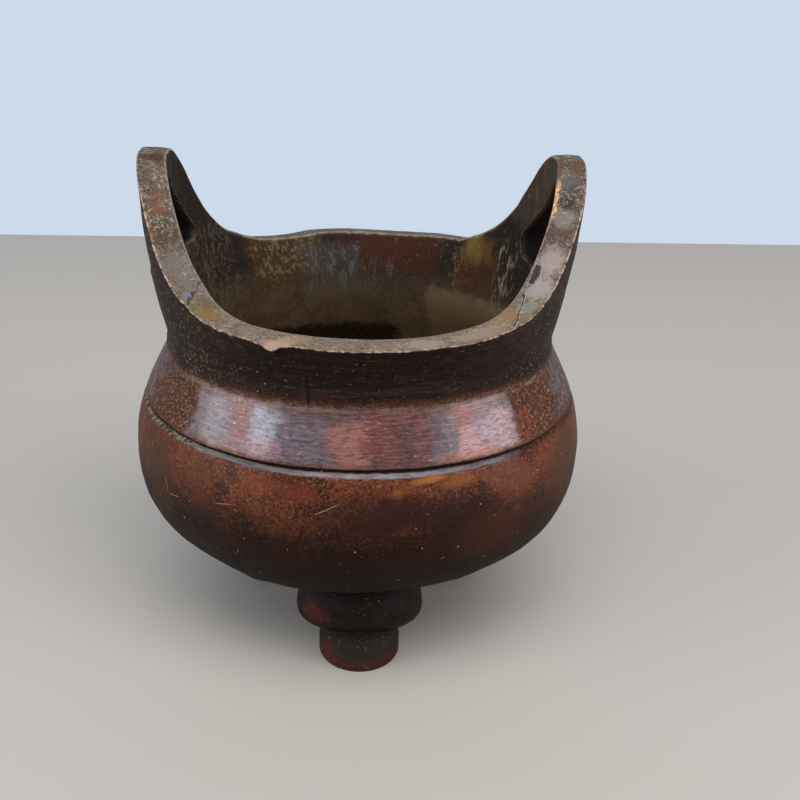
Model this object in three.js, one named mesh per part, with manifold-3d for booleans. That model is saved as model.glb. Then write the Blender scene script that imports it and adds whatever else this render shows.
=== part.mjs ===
// A small tripod incense burner of cast copper alloy: a round belly, a narrow neck, and a lip that
// sweeps up into two pierced ears. Each ear is a casting of its own, let into a straight-sawn notch in
// the neck's wall. Each of the three splayed feet has a tenon in a socket of the belly's underside.
// Millimetres and degrees, +Z up. The table is z = 0, the ears lie on +X and -X, and the front is -Y.
import * as THREE from "three";
import { mergeVertices } from "three/addons/utils/BufferGeometryUtils.js";
import Module from "manifold-3d";

const wasm = await Module();
wasm.setup();

// Driving dimensions of the bowl, each height counted from the one before it
const underside_height = 15.5; // table to the belly's lowest point
const belly_depth = 24.5; // lowest point to the widest place
const shoulder_rise = 19.6; // widest place to the crease under the neck
const neck_rise = 3.0; // crease to the narrowest place
const lip_rise = 8.8; // narrowest place to the lip, front and back
const ear_rise = 24.5; // lip to the top of an ear
const belly_radius = 45;
const crease_radius = 38.4;
const neck_radius = 38.1;
const belly_fullness = 2.7; // power of the lower belly's curve: 2 is an ellipse, more is fuller
const shoulder_swell = 7.5; // how far up the shoulder the belly's widest radius carries
const crease_run = 2.6; // how far in, and up, the shoulder still leans where it meets the neck
const crease_climb = 6.2;

// Lip and ears
const lip_flare = 4.7; // how far the rim's outer edge stands out from the neck, front and back
const ear_flare = 4.0; // the same at the ears
const lip_curl = 1.5; // power of the flare: the lip turns out late
const ear_curl = 2.3; // an ear turns out early, then stands up
const lip_reach = 0.1; // share of an ear's rise in which the lip's own flare fades
const ear_width = 28.9; // across an ear at half its height
const ear_crown = 2.45; // power of the ear's outline at its top: less is more pointed
const ear_sweep = 0.032; // what each degree away from the top adds to that power
const rim_edge = 0.6; // worn edges of the rim

// Walls
const lip_wall = 6.3;
const ear_wall = 5.3;
const neck_wall = 4.9;
const belly_wall = 4.2;
const floor_wall = 5.5;
const floor_radius = 12; // flat of the floor inside
const inside_fullness = 2.2;

// Incised line round the shoulder
const groove_rise = 9.7; // above the widest place
const groove_width = 1.2;
const groove_depth = 0.6;

// Hole through each ear, a round-cornered triangle
const hole_cover = 5.2; // metal over the hole
const hole_sill = 1.4; // lip to the hole's base
const hole_inset = 2.2; // the ear's edge at half its height to the hole's widest place
const hole_crown = 3.8; // radius of its top
const hole_corner = 4.2; // radius of its base corners

// Joints between the castings
const joint_gap = 0.3; // between an ear or a foot and its seat
const ear_joint_angle = 43; // from the ear's middle to the sawn face, on the middle of the rim
const ear_seat_rise = 3.4; // neck's narrowest place to the notch's seat
const tenon_radius = 4.6;
const tenon_cover = 2.2; // metal left over a foot's tenon

// Feet
const foot_count = 3;
const foot_splay = 24; // lean of a foot's axis
const toe_radius = 8.05;
const toe_length = 3.5; // middle of the sole to the toe's top, along the foot
const toe_step = 0.4; // ledge between toe and bulb
const bulb_radius = 12.6;
const bulb_rise = 5.9; // toe's top to the bulb's widest place
const bulb_hang = 2.6; // toe's top to where the bulb's underside turns up
const bulb_neck_radius = 10.4; // where the bulb runs into the belly
const bulb_hold = 0.7; // share of the way to the belly over which the bulb stays wide
const bulb_spacing = 6.3; // between two bulbs at their widest places

// How finely round shapes are cut
const bowl_turns = 76;
const ear_crowding = 0.17; // draws the bowl's cuts closer together at the ears
const foot_turns = 32;
const tenon_turns = 24;
const corner_steps = 10; // along each round corner of an ear's hole
const belly_steps = 9;
const shoulder_steps = 8;
const inner_shoulder_steps = 6;
const wall_steps = 6; // neck to rim outside
const inner_wall_steps = 4; // neck to rim inside
const swell_steps = 6; // along the bulb, below its widest place
const close_steps = 5; // and above it
const fine_steps = 200; // for finding the shoulder's radius at a height
const halvings = 40; // for finding the belly on a foot's axis

// Heights and radii that follow
const degree = Math.PI / 180;
const belly_z = underside_height + belly_depth;
const crease_z = belly_z + shoulder_rise;
const neck_z = crease_z + neck_rise;
const lip_z = neck_z + lip_rise;
const ear_z = lip_z + ear_rise;
const floor_z = underside_height + floor_wall;
const rim_inner_radius = neck_radius + lip_flare - lip_wall;
const rim_middle_radius = neck_radius + lip_flare - lip_wall / 2;
const ear_half_angle = Math.asin(ear_width / 2 / rim_inner_radius) / degree;
const bulb_reach = toe_length + bulb_rise; // up the foot, from the sole to the bulb's widest place
const bulb_circle = (bulb_radius + bulb_spacing / 2) / Math.sin((180 / foot_count) * degree);
const foot_circle = bulb_circle + bulb_reach * Math.sin(foot_splay * degree); // bowl's axis to a sole

const mix = (low, high, share) => low + (high - low) * share;
const at = (radius, height) => () => new THREE.Vector2(radius, height);
const steps = (count) => Array.from({ length: count + 1 }, (_, step) => step / count);

// How much of an ear there is at a turn from the front: 0 on the lip, 1 at the middle of an ear
function ear_share(turn) {
  const off_ear = Math.asin(Math.min(1, Math.abs(Math.cos(turn)))) / degree;
  return 1 / (1 + (off_ear / ear_half_angle) ** (ear_crown + ear_sweep * off_ear));
}

// A point of the wall above the neck. share runs from 0 at the neck to 1 at the rim. The ears are cut from
// one turned wall, and the lip between them flares further.
function wall_point(turn, share, inside, inset = 0, drop = 0) {
  const ear = ear_share(turn);
  const height = mix(neck_z, lip_z + ear_rise * ear, share);
  const ear_wall_out = ear_flare * (1 - ((ear_z - height) / (ear_z - neck_z)) ** ear_curl);
  const lip_out = lip_flare * share ** lip_curl;
  const outer = neck_radius + mix(ear_wall_out, lip_out, Math.exp(-ear / lip_reach));
  const wall = mix(neck_wall, mix(lip_wall, ear_wall, ear), share);
  return new THREE.Vector2(inside ? outer - wall + inset : outer - inset, height - drop);
}

// Lower half of the belly, from its lowest point to its widest place, grown outwards by a skin
function lower_belly(radius, depth, fullness, flat, skin = 0) {
  return steps(belly_steps).map((share) => {
    const angle = share * 90 * degree;
    const run = (radius - flat) * Math.sin(angle) ** (2 / fullness);
    const fall = depth * Math.max(0, Math.cos(angle)) ** (2 / fullness);
    const grown = skin * Math.sin(angle);
    return new THREE.Vector2(flat + run + grown, belly_z - fall - skin * Math.cos(angle));
  });
}

// Shoulder from the widest place to the crease, with the incised line
function shoulder() {
  const curve = new THREE.CubicBezierCurve(
    new THREE.Vector2(belly_radius, belly_z),
    new THREE.Vector2(belly_radius, belly_z + shoulder_swell),
    new THREE.Vector2(crease_radius + crease_run, crease_z - crease_climb),
    new THREE.Vector2(crease_radius, crease_z),
  );
  const fine = curve.getPoints(fine_steps);
  const radius_at = (height) => {
    const off = (point) => Math.abs(point.y - height);
    return fine.reduce((best, point) => (off(point) < off(best) ? point : best)).x;
  };
  const groove_z = belly_z + groove_rise;
  const groove = [
    [0, -groove_width / 2],
    [-groove_depth, 0],
    [0, groove_width / 2],
  ].map(([cut, rise]) => new THREE.Vector2(radius_at(groove_z + rise) + cut, groove_z + rise));
  const clear_of_groove = (point) => Math.abs(point.y - groove_z) > groove_width;
  const plain = curve.getPoints(shoulder_steps).slice(1).filter(clear_of_groove);
  return [...plain, ...groove].sort((a, b) => a.y - b.y);
}

// Inside of the shoulder, from the neck down to the widest place
function inner_shoulder() {
  return new THREE.CubicBezierCurve(
    new THREE.Vector2(neck_radius - neck_wall, neck_z),
    new THREE.Vector2(neck_radius - neck_wall, neck_z - neck_rise - crease_climb),
    new THREE.Vector2(belly_radius - belly_wall, belly_z + shoulder_swell),
    new THREE.Vector2(belly_radius - belly_wall, belly_z),
  ).getPoints(inner_shoulder_steps);
}

// The bowl's whole section with both ears: up the outside, over the rim and down the inside
function section() {
  const fixed = (points) => points.map((point) => at(point.x, point.y));
  const edge = [
    [false, 0, rim_edge],
    [false, rim_edge, 0],
    [true, rim_edge, 0],
    [true, 0, rim_edge],
  ].map(([inside, inset, drop]) => (turn) => wall_point(turn, 1, inside, inset, drop));
  const wall_row = (inside) => (share) => (turn) => wall_point(turn, share, inside);
  const outside = steps(wall_steps).slice(0, -1).map(wall_row(false));
  const inside = steps(inner_wall_steps).slice(1, -1).reverse().map(wall_row(true));
  const inner_radius = belly_radius - belly_wall;
  const inner_depth = belly_depth - floor_wall;
  const inner_belly = lower_belly(inner_radius, inner_depth, inside_fullness, floor_radius);
  return [
    ...fixed(lower_belly(belly_radius, belly_depth, belly_fullness, 0)),
    ...fixed(shoulder()),
    ...outside,
    ...edge,
    ...inside,
    ...fixed(inner_shoulder()),
    ...fixed(inner_belly.slice(0, -1).reverse()),
    at(0, floor_z),
  ];
}

// A lathe body whose section may change as it turns. Each row gives its radius and height at a turn.
function turned(rows) {
  const geometry = new THREE.LatheGeometry(rows.map((row) => row(0)), bowl_turns);
  const position = geometry.getAttribute("position");
  for (let step = 0; step <= bowl_turns; step++) {
    const even = (360 * degree * step) / bowl_turns;
    const turn = even + ear_crowding * Math.sin(2 * even);
    rows.forEach((row, index) => {
      const { x: radius, y: height } = row(turn);
      const vertex = step * rows.length + index;
      position.setXYZ(vertex, radius * Math.sin(turn), -radius * Math.cos(turn), height);
    });
  }
  return geometry;
}

// Solids for joining and cutting
function solid(geometry) {
  const bare = geometry.clone();
  bare.deleteAttribute("normal");
  bare.deleteAttribute("uv");
  const merged = mergeVertices(bare, 1e-4);
  const vertProperties = new Float32Array(merged.getAttribute("position").array);
  const triVerts = new Uint32Array(merged.index.array);
  return new wasm.Manifold(new wasm.Mesh({ numProp: 3, vertProperties, triVerts }));
}

function box(low, high) {
  const size = high.clone().sub(low);
  const middle = low.clone().add(high).multiplyScalar(0.5);
  return solid(new THREE.BoxGeometry(size.x, size.y, size.z).translate(middle.x, middle.y, middle.z));
}

function piece(name, shape, finish) {
  const mesh = shape.getMesh();
  const geometry = new THREE.BufferGeometry();
  const corners = new Float32Array(mesh.vertProperties);
  geometry.setAttribute("position", new THREE.BufferAttribute(corners, 3));
  geometry.setIndex(new THREE.BufferAttribute(new Uint32Array(mesh.triVerts), 1));
  geometry.computeVertexNormals();
  const made = new THREE.Mesh(geometry, finish);
  made.name = name;
  return made;
}

// Hole through an ear, drawn across and up, then run through the wall
function ear_hole() {
  const crown_z = ear_z - hole_cover - hole_crown;
  const corner_z = lip_z + hole_sill + hole_corner;
  const corner_y = ear_width / 2 - hole_inset - hole_corner;
  const length = Math.hypot(corner_y, crown_z - corner_z);
  const slope = Math.atan2(corner_z - crown_z, corner_y);
  const tangent = slope + Math.acos((hole_crown - hole_corner) / length);
  const quarter = 90 * degree;
  const outline = new THREE.Shape();
  outline.absarc(0, crown_z, hole_crown, 2 * quarter - tangent, tangent, true);
  outline.absarc(corner_y, corner_z, hole_corner, tangent, -quarter, true);
  outline.absarc(-corner_y, corner_z, hole_corner, -quarter, -2 * quarter - tangent, true);
  outline.closePath();
  const reach = 2 * belly_radius;
  const across = { depth: 2 * reach, bevelEnabled: false, curveSegments: corner_steps };
  const run = new THREE.ExtrudeGeometry(outline, across);
  // the outline's across and up become Y and Z, and its depth becomes X
  const basis = new THREE.Matrix4().makeBasis(
    new THREE.Vector3(0, 1, 0),
    new THREE.Vector3(0, 0, 1),
    new THREE.Vector3(1, 0, 0),
  );
  return solid(run.applyMatrix4(basis).translate(-reach, 0, 0));
}

// What an ear takes of the wall on one side (+1 or -1), kept back from the sawn faces by a gap
function ear_block(side, gap) {
  const face = rim_middle_radius * Math.cos(ear_joint_angle * degree) + gap;
  const far = 2 * belly_radius;
  const seat = neck_z + ear_seat_rise + gap;
  const low = new THREE.Vector3(Math.min(side * face, side * far), -far, seat);
  const high = new THREE.Vector3(Math.max(side * face, side * far), far, ear_z + far);
  return box(low, high);
}

// How far up a foot's leaning axis the belly's underside is
function belly_on_foot_axis() {
  let low = 0;
  let high = belly_z;
  for (let halving = 0; halving < halvings; halving++) {
    const reach = (low + high) / 2;
    const radius = Math.abs(foot_circle - reach * Math.sin(foot_splay * degree));
    const share = Math.min(1, radius / belly_radius) ** belly_fullness;
    const underside = belly_z - belly_depth * (1 - share) ** (1 / belly_fullness);
    if (reach * Math.cos(foot_splay * degree) < underside) low = reach;
    else high = reach;
  }
  return low;
}

// Stands a body made along +Z on its foot's leaning axis, then turns it to its place round the bowl
function on_foot_axis(geometry, index) {
  const turn = ((360 * index) / foot_count) * degree;
  return geometry.rotateX(-foot_splay * degree).translate(0, -foot_circle, 0).rotateZ(turn);
}

function rod(radius, low, high) {
  const geometry = new THREE.CylinderGeometry(radius, radius, high - low, tenon_turns);
  return geometry.rotateX(90 * degree).translate(0, 0, (low + high) / 2);
}

const seat_reach = belly_on_foot_axis();
const tenon_end = seat_reach + floor_wall - tenon_cover;

// One foot: a short toe under a round bulb, cut level at the table and to the belly's curve on top
function foot(index, belly_skin) {
  const below = -toe_radius;
  const top = seat_reach + bulb_radius;
  const swell = new THREE.QuadraticBezierCurve(
    new THREE.Vector2(toe_radius + toe_step, toe_length),
    new THREE.Vector2(bulb_radius, toe_length + bulb_hang),
    new THREE.Vector2(bulb_radius, bulb_reach),
  );
  const close = new THREE.QuadraticBezierCurve(
    new THREE.Vector2(bulb_radius, bulb_reach),
    new THREE.Vector2(bulb_radius, mix(bulb_reach, seat_reach, bulb_hold)),
    new THREE.Vector2(bulb_neck_radius, seat_reach),
  );
  const profile = [
    new THREE.Vector2(0, below),
    new THREE.Vector2(toe_radius, below),
    new THREE.Vector2(toe_radius, toe_length),
    ...swell.getPoints(swell_steps),
    ...close.getPoints(close_steps).slice(1),
    new THREE.Vector2(bulb_neck_radius, top),
    new THREE.Vector2(0, top),
  ];
  const lathed = new THREE.LatheGeometry(profile, foot_turns).rotateX(90 * degree);
  const blank = solid(on_foot_axis(lathed, index));
  const far = 3 * belly_radius;
  const under_table = box(new THREE.Vector3(-far, -far, -far), new THREE.Vector3(far, far, 0));
  const tenon = solid(on_foot_axis(rod(tenon_radius, toe_length, tenon_end), index));
  return blank.subtract(under_table).subtract(belly_skin).add(tenon);
}

function socket(index) {
  return solid(on_foot_axis(rod(tenon_radius + joint_gap, toe_length, tenon_end + joint_gap), index));
}

// What the feet stop short of: the lower belly grown by the gap, closed above
function belly_envelope() {
  const grown = lower_belly(belly_radius, belly_depth, belly_fullness, 0, joint_gap);
  const rows = grown.map((point) => at(point.x, point.y));
  return solid(turned([...rows, at(belly_radius + joint_gap, crease_z), at(0, crease_z)]));
}

// Finishes
const body_finish = new THREE.MeshStandardMaterial({ color: 0x4a2a1e, roughness: 0.42, metalness: 0.85 });
const ear_finish = new THREE.MeshStandardMaterial({ color: 0x54433a, roughness: 0.5, metalness: 0.85 });
const foot_finish = new THREE.MeshStandardMaterial({ color: 0x3d211a, roughness: 0.5, metalness: 0.8 });

// Assembly
const burner = new THREE.Group();
const wall = solid(turned(section())).subtract(ear_hole());
const sides = { ear_left: -1, ear_right: 1 };
const foot_names = ["foot_front", "foot_rear_right", "foot_rear_left"];
let bowl = wall;
for (const side of Object.values(sides)) bowl = bowl.subtract(ear_block(side, 0));
foot_names.forEach((_, index) => {
  bowl = bowl.subtract(socket(index));
});
burner.add(piece("bowl", bowl, body_finish));
for (const [name, side] of Object.entries(sides)) {
  burner.add(piece(name, wall.intersect(ear_block(side, joint_gap)), ear_finish));
}
const belly_skin = belly_envelope();
foot_names.forEach((name, index) => burner.add(piece(name, foot(index, belly_skin), foot_finish)));

export default burner;
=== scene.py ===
# A small tripod incense burner of patinated copper alloy. The bowl and the feet are turned shapes whose
# outline follows a rule, so node trees make them. The pierced ears are meshed ring by ring round their
# holes. The finishes are layered from mottling, brush lines, scratches, specks, stains and worn edges,
# with painted shade, painted highlights and painted reflections in places.
import math

import bmesh
import bpy
import numpy as np
from mathutils import Matrix, Vector, noise


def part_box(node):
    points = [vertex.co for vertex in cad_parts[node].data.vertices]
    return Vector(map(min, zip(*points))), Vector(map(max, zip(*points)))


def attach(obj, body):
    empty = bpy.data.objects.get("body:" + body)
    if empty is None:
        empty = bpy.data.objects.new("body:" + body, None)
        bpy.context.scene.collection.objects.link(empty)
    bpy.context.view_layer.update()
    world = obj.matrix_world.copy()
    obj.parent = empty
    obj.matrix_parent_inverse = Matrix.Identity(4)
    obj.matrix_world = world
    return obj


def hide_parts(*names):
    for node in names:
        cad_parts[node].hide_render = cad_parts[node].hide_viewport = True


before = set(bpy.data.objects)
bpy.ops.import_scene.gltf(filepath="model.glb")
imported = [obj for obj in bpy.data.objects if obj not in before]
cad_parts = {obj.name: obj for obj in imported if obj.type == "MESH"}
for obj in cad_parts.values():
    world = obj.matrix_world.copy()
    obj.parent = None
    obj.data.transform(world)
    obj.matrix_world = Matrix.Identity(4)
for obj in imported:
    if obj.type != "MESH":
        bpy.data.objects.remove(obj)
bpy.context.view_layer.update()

mm = 0.001
degree = math.pi / 180

# Sizes that the construction fixes
bowl_low, bowl_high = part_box("bowl")
ear_low, ear_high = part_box("ear_right")
joint_gap = 0.3 * mm
belly_radius = bowl_high.x
underside_z = bowl_low.z
ear_z = ear_high.z
joint_face = ear_low.x - joint_gap
seat_z = ear_low.z - joint_gap

# Outline of the bowl
belly_z = underside_z + 24.5 * mm
crease_z = belly_z + 19.6 * mm
neck_z = crease_z + 3.0 * mm
lip_z = neck_z + 8.8 * mm
ear_rise = ear_z - lip_z
crease_radius = 38.4 * mm
neck_radius = 38.1 * mm
belly_fullness = 2.7
shoulder_swell = 7.5 * mm
crease_run = 2.6 * mm
crease_climb = 6.2 * mm
lip_flare = 4.7 * mm
ear_flare = 4.0 * mm
lip_curl = 1.5
ear_curl = 2.3
lip_reach = 0.1
neck_corner = 0.6 * mm
ear_width = 28.9 * mm
ear_crown = 2.45
ear_sweep = 0.032

# Walls
lip_wall = 6.3 * mm
ear_wall = 5.3 * mm
neck_wall = 4.9 * mm
belly_wall = 4.2 * mm
floor_z = underside_z + 5.5 * mm
floor_radius = 12 * mm
inside_fullness = 2.2
ear_half_angle = math.asin(ear_width / 2 / (neck_radius + lip_flare - lip_wall)) / degree

# Above the first height the wall has its own finish, and above the second one so has the inside
neck_top_z = neck_z - 1 * mm
above_floor_z = floor_z - 1 * mm

# Incised line round the shoulder: a dark cut over a rounded lower lip
groove_z = belly_z + 9.6 * mm
groove_depth = 0.7 * mm
groove_top = 0.5 * mm
groove_floor = -0.3 * mm
groove_lip = -1.3 * mm
lip_sharpness = 1.6

# Rim: how far its rounded edges reach across the top and down the sides
outer_round = 0.55 * mm
outer_drop = 0.45 * mm
inner_round = 0.55 * mm
inner_drop = 0.45 * mm
rim_crown = 0.12 * mm

# Hole through each ear. This one's left hole is smaller and has a narrower crown.
hole_round = 0.6 * mm
left_hole = {"crown": 1.6 * mm, "corner": 1.9 * mm, "cover": 5.3 * mm, "sill": 4.0 * mm, "inset": 2.4 * mm}
right_hole = {"crown": 2.6 * mm, "corner": 3.2 * mm, "cover": 5.4 * mm, "sill": 0.5 * mm, "inset": 1.8 * mm}

# Feet
foot_count = 3
foot_splay = 24 * degree
foot_circle = 22.0 * mm
toe_radius = 8.05 * mm
toe_length = 3.5 * mm
toe_step = 0.4 * mm
bulb_radius = 12.6 * mm
bulb_rise = 5.9 * mm
bulb_hang = 1.5 * mm
bulb_neck_radius = 10.4 * mm
sole_edge = 0.6 * mm
cove_radius = 7.9 * mm
cove_height = 1.1 * mm
foot_gap = 0.03 * mm
ledge_round = 0.25 * mm
toe_stretch = (0.3, 0.93)

# How finely the pieces are cut
bowl_columns = 520
front_crowding = 0.35
foot_columns = 180
belly_rows = 36
shoulder_rows = 18
groove_rows = 24
neck_rows = 6
wall_rows = 22
round_rows = 6
face_rows = 11
inner_rows = 14
sole_rows = 5
toe_rows = 8
ledge_rows = 6
cove_rows = 8
bulb_rows = 26
held_rows = 18
held_steps = 100
seat_rows = 8
inner_shoulder_rows = 12
inner_belly_rows = 14
ear_seat_columns = 150
ear_rim_columns = 230
ear_side_rows = 14
ear_rings = 22
hole_rows = 12


def mix(low, high, share):
    return low + (high - low) * share


def smooth(low, high, value):
    share = np.clip((value - low) / (high - low), 0, 1)
    return share * share * (3 - 2 * share)


def bezier(*controls, count):
    """Points along the curve of these control points, both ends included."""
    points = [np.asarray(control, float)[None] for control in controls]
    shares = np.linspace(0, 1, count)[:, None]
    while len(points) > 1:
        points = [mix(a, b, shares) for a, b in zip(points, points[1:])]
    return points[0]


# Wall above the neck. A turn counts from the front, towards the right. side is 0 outside and 1 inside.
def ear_share(turn):
    """How much of an ear there is at a turn: 0 on the lip, 1 at the middle of an ear."""
    off_ear = np.degrees(np.arcsin(np.minimum(1, np.abs(np.cos(turn)))))
    return 1 / (1 + (off_ear / ear_half_angle) ** (ear_crown + ear_sweep * off_ear))


def wall_top(turn):
    return lip_z + ear_rise * ear_share(turn)


def wall_radius(turn, height, side):
    """The ears are cut from one turned wall, and the lip between them flares further."""
    ear = ear_share(turn)
    share = np.clip((height - neck_z) / (wall_top(turn) - neck_z), 0, 1)
    stood = ear_flare * (1 - np.maximum(0, (ear_z - height) / (ear_z - neck_z)) ** ear_curl)
    flared = lip_flare * share**lip_curl
    outer = neck_radius + mix(stood, flared, np.exp(-ear / lip_reach))
    return outer - side * mix(neck_wall, mix(lip_wall, ear_wall, ear), share)


def rim_profile():
    """The rim's rounded top from the outside over to the inside, as rows of (side, inset, drop)."""
    outside = bezier((0, 0, outer_drop), (0, 0, 0), (0, -outer_round, 0), count=round_rows)
    inside = bezier((1, inner_round, 0), (1, 0, 0), (1, 0, inner_drop), count=round_rows)
    face = bezier(outside[-1], inside[0], count=face_rows)
    face[:, 2] -= rim_crown * np.sin(np.linspace(0, math.pi, face_rows))
    return np.concatenate([outside[:-1], face, inside[1:]])


def rim_point(turn, side, inset, drop):
    height = wall_top(turn) - drop
    return wall_radius(turn, height, side) + inset, height


def belly_curve(radius, depth, fullness, flat, count):
    """A belly's lower half, from its lowest point to its widest place, in even steps."""
    angle = np.linspace(0, math.pi / 2, 40 * count)
    run = flat + (radius - flat) * np.sin(angle) ** (2 / fullness)
    height = belly_z - depth * np.cos(angle).clip(0) ** (2 / fullness)
    length = np.concatenate([[0], np.cumsum(np.hypot(np.diff(run), np.diff(height)))])
    even = np.linspace(0, length[-1], count)
    return np.stack([np.interp(even, length, run), np.interp(even, length, height)], axis=1)


def shoulder_curve():
    curve = bezier(
        (belly_radius, belly_z),
        (belly_radius, belly_z + shoulder_swell),
        (crease_radius + crease_run, crease_z - crease_climb),
        (crease_radius, crease_z),
        count=400,
    )
    above, below = groove_z + 1.6 * groove_top, groove_z + 1.2 * groove_lip
    heights = np.concatenate([
        np.linspace(belly_z, below, shoulder_rows)[:-1],
        np.linspace(below, above, groove_rows),
        np.linspace(above, crease_z, shoulder_rows)[1:],
    ])
    radii = np.interp(heights, curve[:, 1], curve[:, 0])
    rise = heights - groove_z
    lower_lip = ((rise - groove_lip) / (groove_floor - groove_lip)).clip(0, 1) ** lip_sharpness
    upper_wall = 1 - smooth(groove_floor, groove_top, rise)
    cut = groove_depth * np.minimum(lower_lip, upper_wall)
    return np.stack([radii - cut, heights], axis=1)


def inner_shoulder_curve():
    return bezier(
        (neck_radius - neck_wall, neck_z),
        (neck_radius - neck_wall, crease_z - crease_climb),
        (belly_radius - belly_wall, belly_z + shoulder_swell),
        (belly_radius - belly_wall, belly_z),
        count=inner_shoulder_rows,
    )


def inner_belly_curve():
    inner_radius = belly_radius - belly_wall
    return belly_curve(inner_radius, belly_z - floor_z, inside_fullness, floor_radius, inner_belly_rows)


def bowl_rows():
    """The rows of the bowl's outline, up the outside, over the rim and down the inside. The plain ones are
    (radius, height). The wall's rows follow the ears: (share of the wall, side, inset, drop)."""
    outer_belly = belly_curve(belly_radius, belly_z - underside_z, belly_fullness, 0, belly_rows)
    corner = (crease_radius, neck_z - neck_corner)
    neck = bezier((crease_radius, crease_z), corner, (neck_radius, neck_z), count=neck_rows)
    plain_outside = np.concatenate([outer_belly[:-1], shoulder_curve(), neck[1:]])
    plain_inside = np.concatenate([inner_shoulder_curve(), inner_belly_curve()[::-1][1:], [(0, floor_z)]])
    near_rim = 0.97
    outside = [(share, 0, 0, 0) for share in np.linspace(0, near_rim, wall_rows)[1:]]
    rim = [(1, *row) for row in rim_profile()]
    inside = [(share, 1, 0, 0) for share in np.linspace(near_rim, 0, inner_rows)[:-1]]
    wall = np.array(outside[:-1] + rim + inside[1:])
    points = np.concatenate([plain_outside, wall[:, 2:], plain_inside])
    values = np.zeros((len(points), 3))
    on_wall = slice(len(plain_outside), len(plain_outside) + len(wall))
    values[on_wall] = np.column_stack([wall[:, :2], np.ones(len(wall))])
    return points, dict(zip(("share", "side", "wall"), values.T))


# Node trees
def operator(operation):
    """A method that works a field out with another value."""
    return lambda field, other: field.math(operation, other)


class Field:
    """A value in a node tree. Arithmetic on it adds the math nodes that work the result out."""

    def __init__(self, tree, socket):
        self.tree = tree
        self.socket = socket

    def sibling(self, name):
        """Another output of the same node."""
        return Field(self.tree, self.socket.node.outputs[name])

    def math(self, operation, *others, kind="Math", clamp=False):
        node = self.tree.nodes.new("ShaderNode" + kind)
        node.operation = operation
        if clamp:
            node.use_clamp = True
        for socket, value in zip(node.inputs, (self, *others)):
            plug(self.tree, value, socket)
        return Field(self.tree, node.outputs[0])

    def scaled(self, factor):
        settings = {"operation": "SCALE"}
        return add(self.tree, "ShaderNodeVectorMath", settings, Vector=self, Scale=factor)

    def __rsub__(self, other):
        return self * -1.0 + other

    def __rtruediv__(self, other):
        return self**-1.0 * other

    __add__ = __radd__ = operator("ADD")
    __sub__ = operator("SUBTRACT")
    __mul__ = __rmul__ = operator("MULTIPLY")
    __truediv__ = operator("DIVIDE")
    __pow__ = operator("POWER")


def plug(tree, value, socket):
    """Links a field to a socket, or writes a plain value on it."""
    if isinstance(value, Field):
        tree.links.new(value.socket, socket)
    elif value is not None:
        socket.default_value = value


def add(tree, kind, settings=None, output=0, **inputs):
    """Adds a node, fills the inputs named with underscores for spaces, and gives one output as a field."""
    node = tree.nodes.new(kind)
    for name, value in (settings or {}).items():
        setattr(node, name, value)
    for name, value in inputs.items():
        plug(tree, value, node.inputs[name.replace("_", " ")])
    return Field(tree, node.outputs[output])


def new_tree(name, kind, output_kind, **inputs):
    """A node tree with one output, and with inputs listed by kind. Gives these as fields, and the output."""
    tree = bpy.data.node_groups.new(name, kind + "NodeTree")
    sockets = [("Result", "OUTPUT", output_kind)]
    sockets += [(label, "INPUT", input_kind) for input_kind, labels in inputs.items() for label in labels]
    for label, in_out, socket_kind in sockets:
        tree.interface.new_socket(label, in_out=in_out, socket_type="NodeSocket" + socket_kind)
    entry = tree.nodes.new("NodeGroupInput")
    given = {label: Field(tree, entry.outputs[label]) for label, in_out, _ in sockets if in_out == "INPUT"}
    return tree, given, tree.nodes.new("NodeGroupOutput").inputs[0]


def combine(tree, x, y, z):
    return add(tree, "ShaderNodeCombineXYZ", X=x, Y=y, Z=z)


def separate(vector):
    node = add(vector.tree, "ShaderNodeSeparateXYZ", Vector=vector)
    return [node.sibling(key) for key in "XYZ"]


def store(mesh, key, values):
    mesh.attributes.new(key, "FLOAT", "POINT").data.foreach_set("value", np.asarray(values, np.float32))


def outline_object(name, points, row_values):
    """A helper whose points are the rows of an outline: X and Z of each row, and values for each row."""
    mesh = bpy.data.meshes.new(name)
    corners = [(x, 0, z) for x, z in points]
    mesh.from_pydata(corners, [(row, row + 1) for row in range(len(corners) - 1)], [])
    for key, values in row_values.items():
        store(mesh, key, values)
    helper = bpy.data.objects.new(name, mesh)
    bpy.context.collection.objects.link(helper)
    return helper


def sheet_of_rows(tree, columns, section, *keys):
    """A flat grid with a column for each step of the turn and a row for each point of the section.
    Gives the grid, the turn, and for each grid point its row's place and values."""
    shape = add(tree, "GeometryNodeObjectInfo", output="Geometry", Object=section)
    rows = add(tree, "GeometryNodeAttributeDomainSize", {"component": "MESH"}, Geometry=shape)
    sizes = {"Size_X": 1.0, "Size_Y": 1.0, "Vertices_X": columns + 1, "Vertices_Y": rows}
    grid = add(tree, "GeometryNodeMeshGrid", **sizes)
    position = add(tree, "GeometryNodeInputPosition")
    across, along, _ = separate(position)
    row = ((along + 0.5) * (rows - 1)).math("ROUND")

    def sampled(value, kind):
        settings = {"data_type": kind, "domain": "POINT"}
        return add(tree, "GeometryNodeSampleIndex", settings, Geometry=shape, Value=value, Index=row)

    settings = {"data_type": "FLOAT"}
    named = [add(tree, "GeometryNodeInputNamedAttribute", settings, Name=key) for key in keys]
    values = [sampled(value, "FLOAT") for value in named]
    return grid, (across + 0.5) * math.tau, separate(sampled(position, "FLOAT_VECTOR")), values


def finished(tree, exit_socket, geometry, finish):
    real = add(tree, "GeometryNodeRealizeInstances", Geometry=geometry)
    plug(tree, add(tree, "GeometryNodeSetMaterial", Geometry=real, Material=finish), exit_socket)
    return tree


def moved_and_closed(tree, grid, place):
    """The grid with its points at their places, and its ends joined."""
    turned = add(tree, "GeometryNodeSetPosition", Geometry=grid, Position=place)
    return add(tree, "GeometryNodeMergeByDistance", Geometry=turned, Distance=1e-6)


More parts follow.
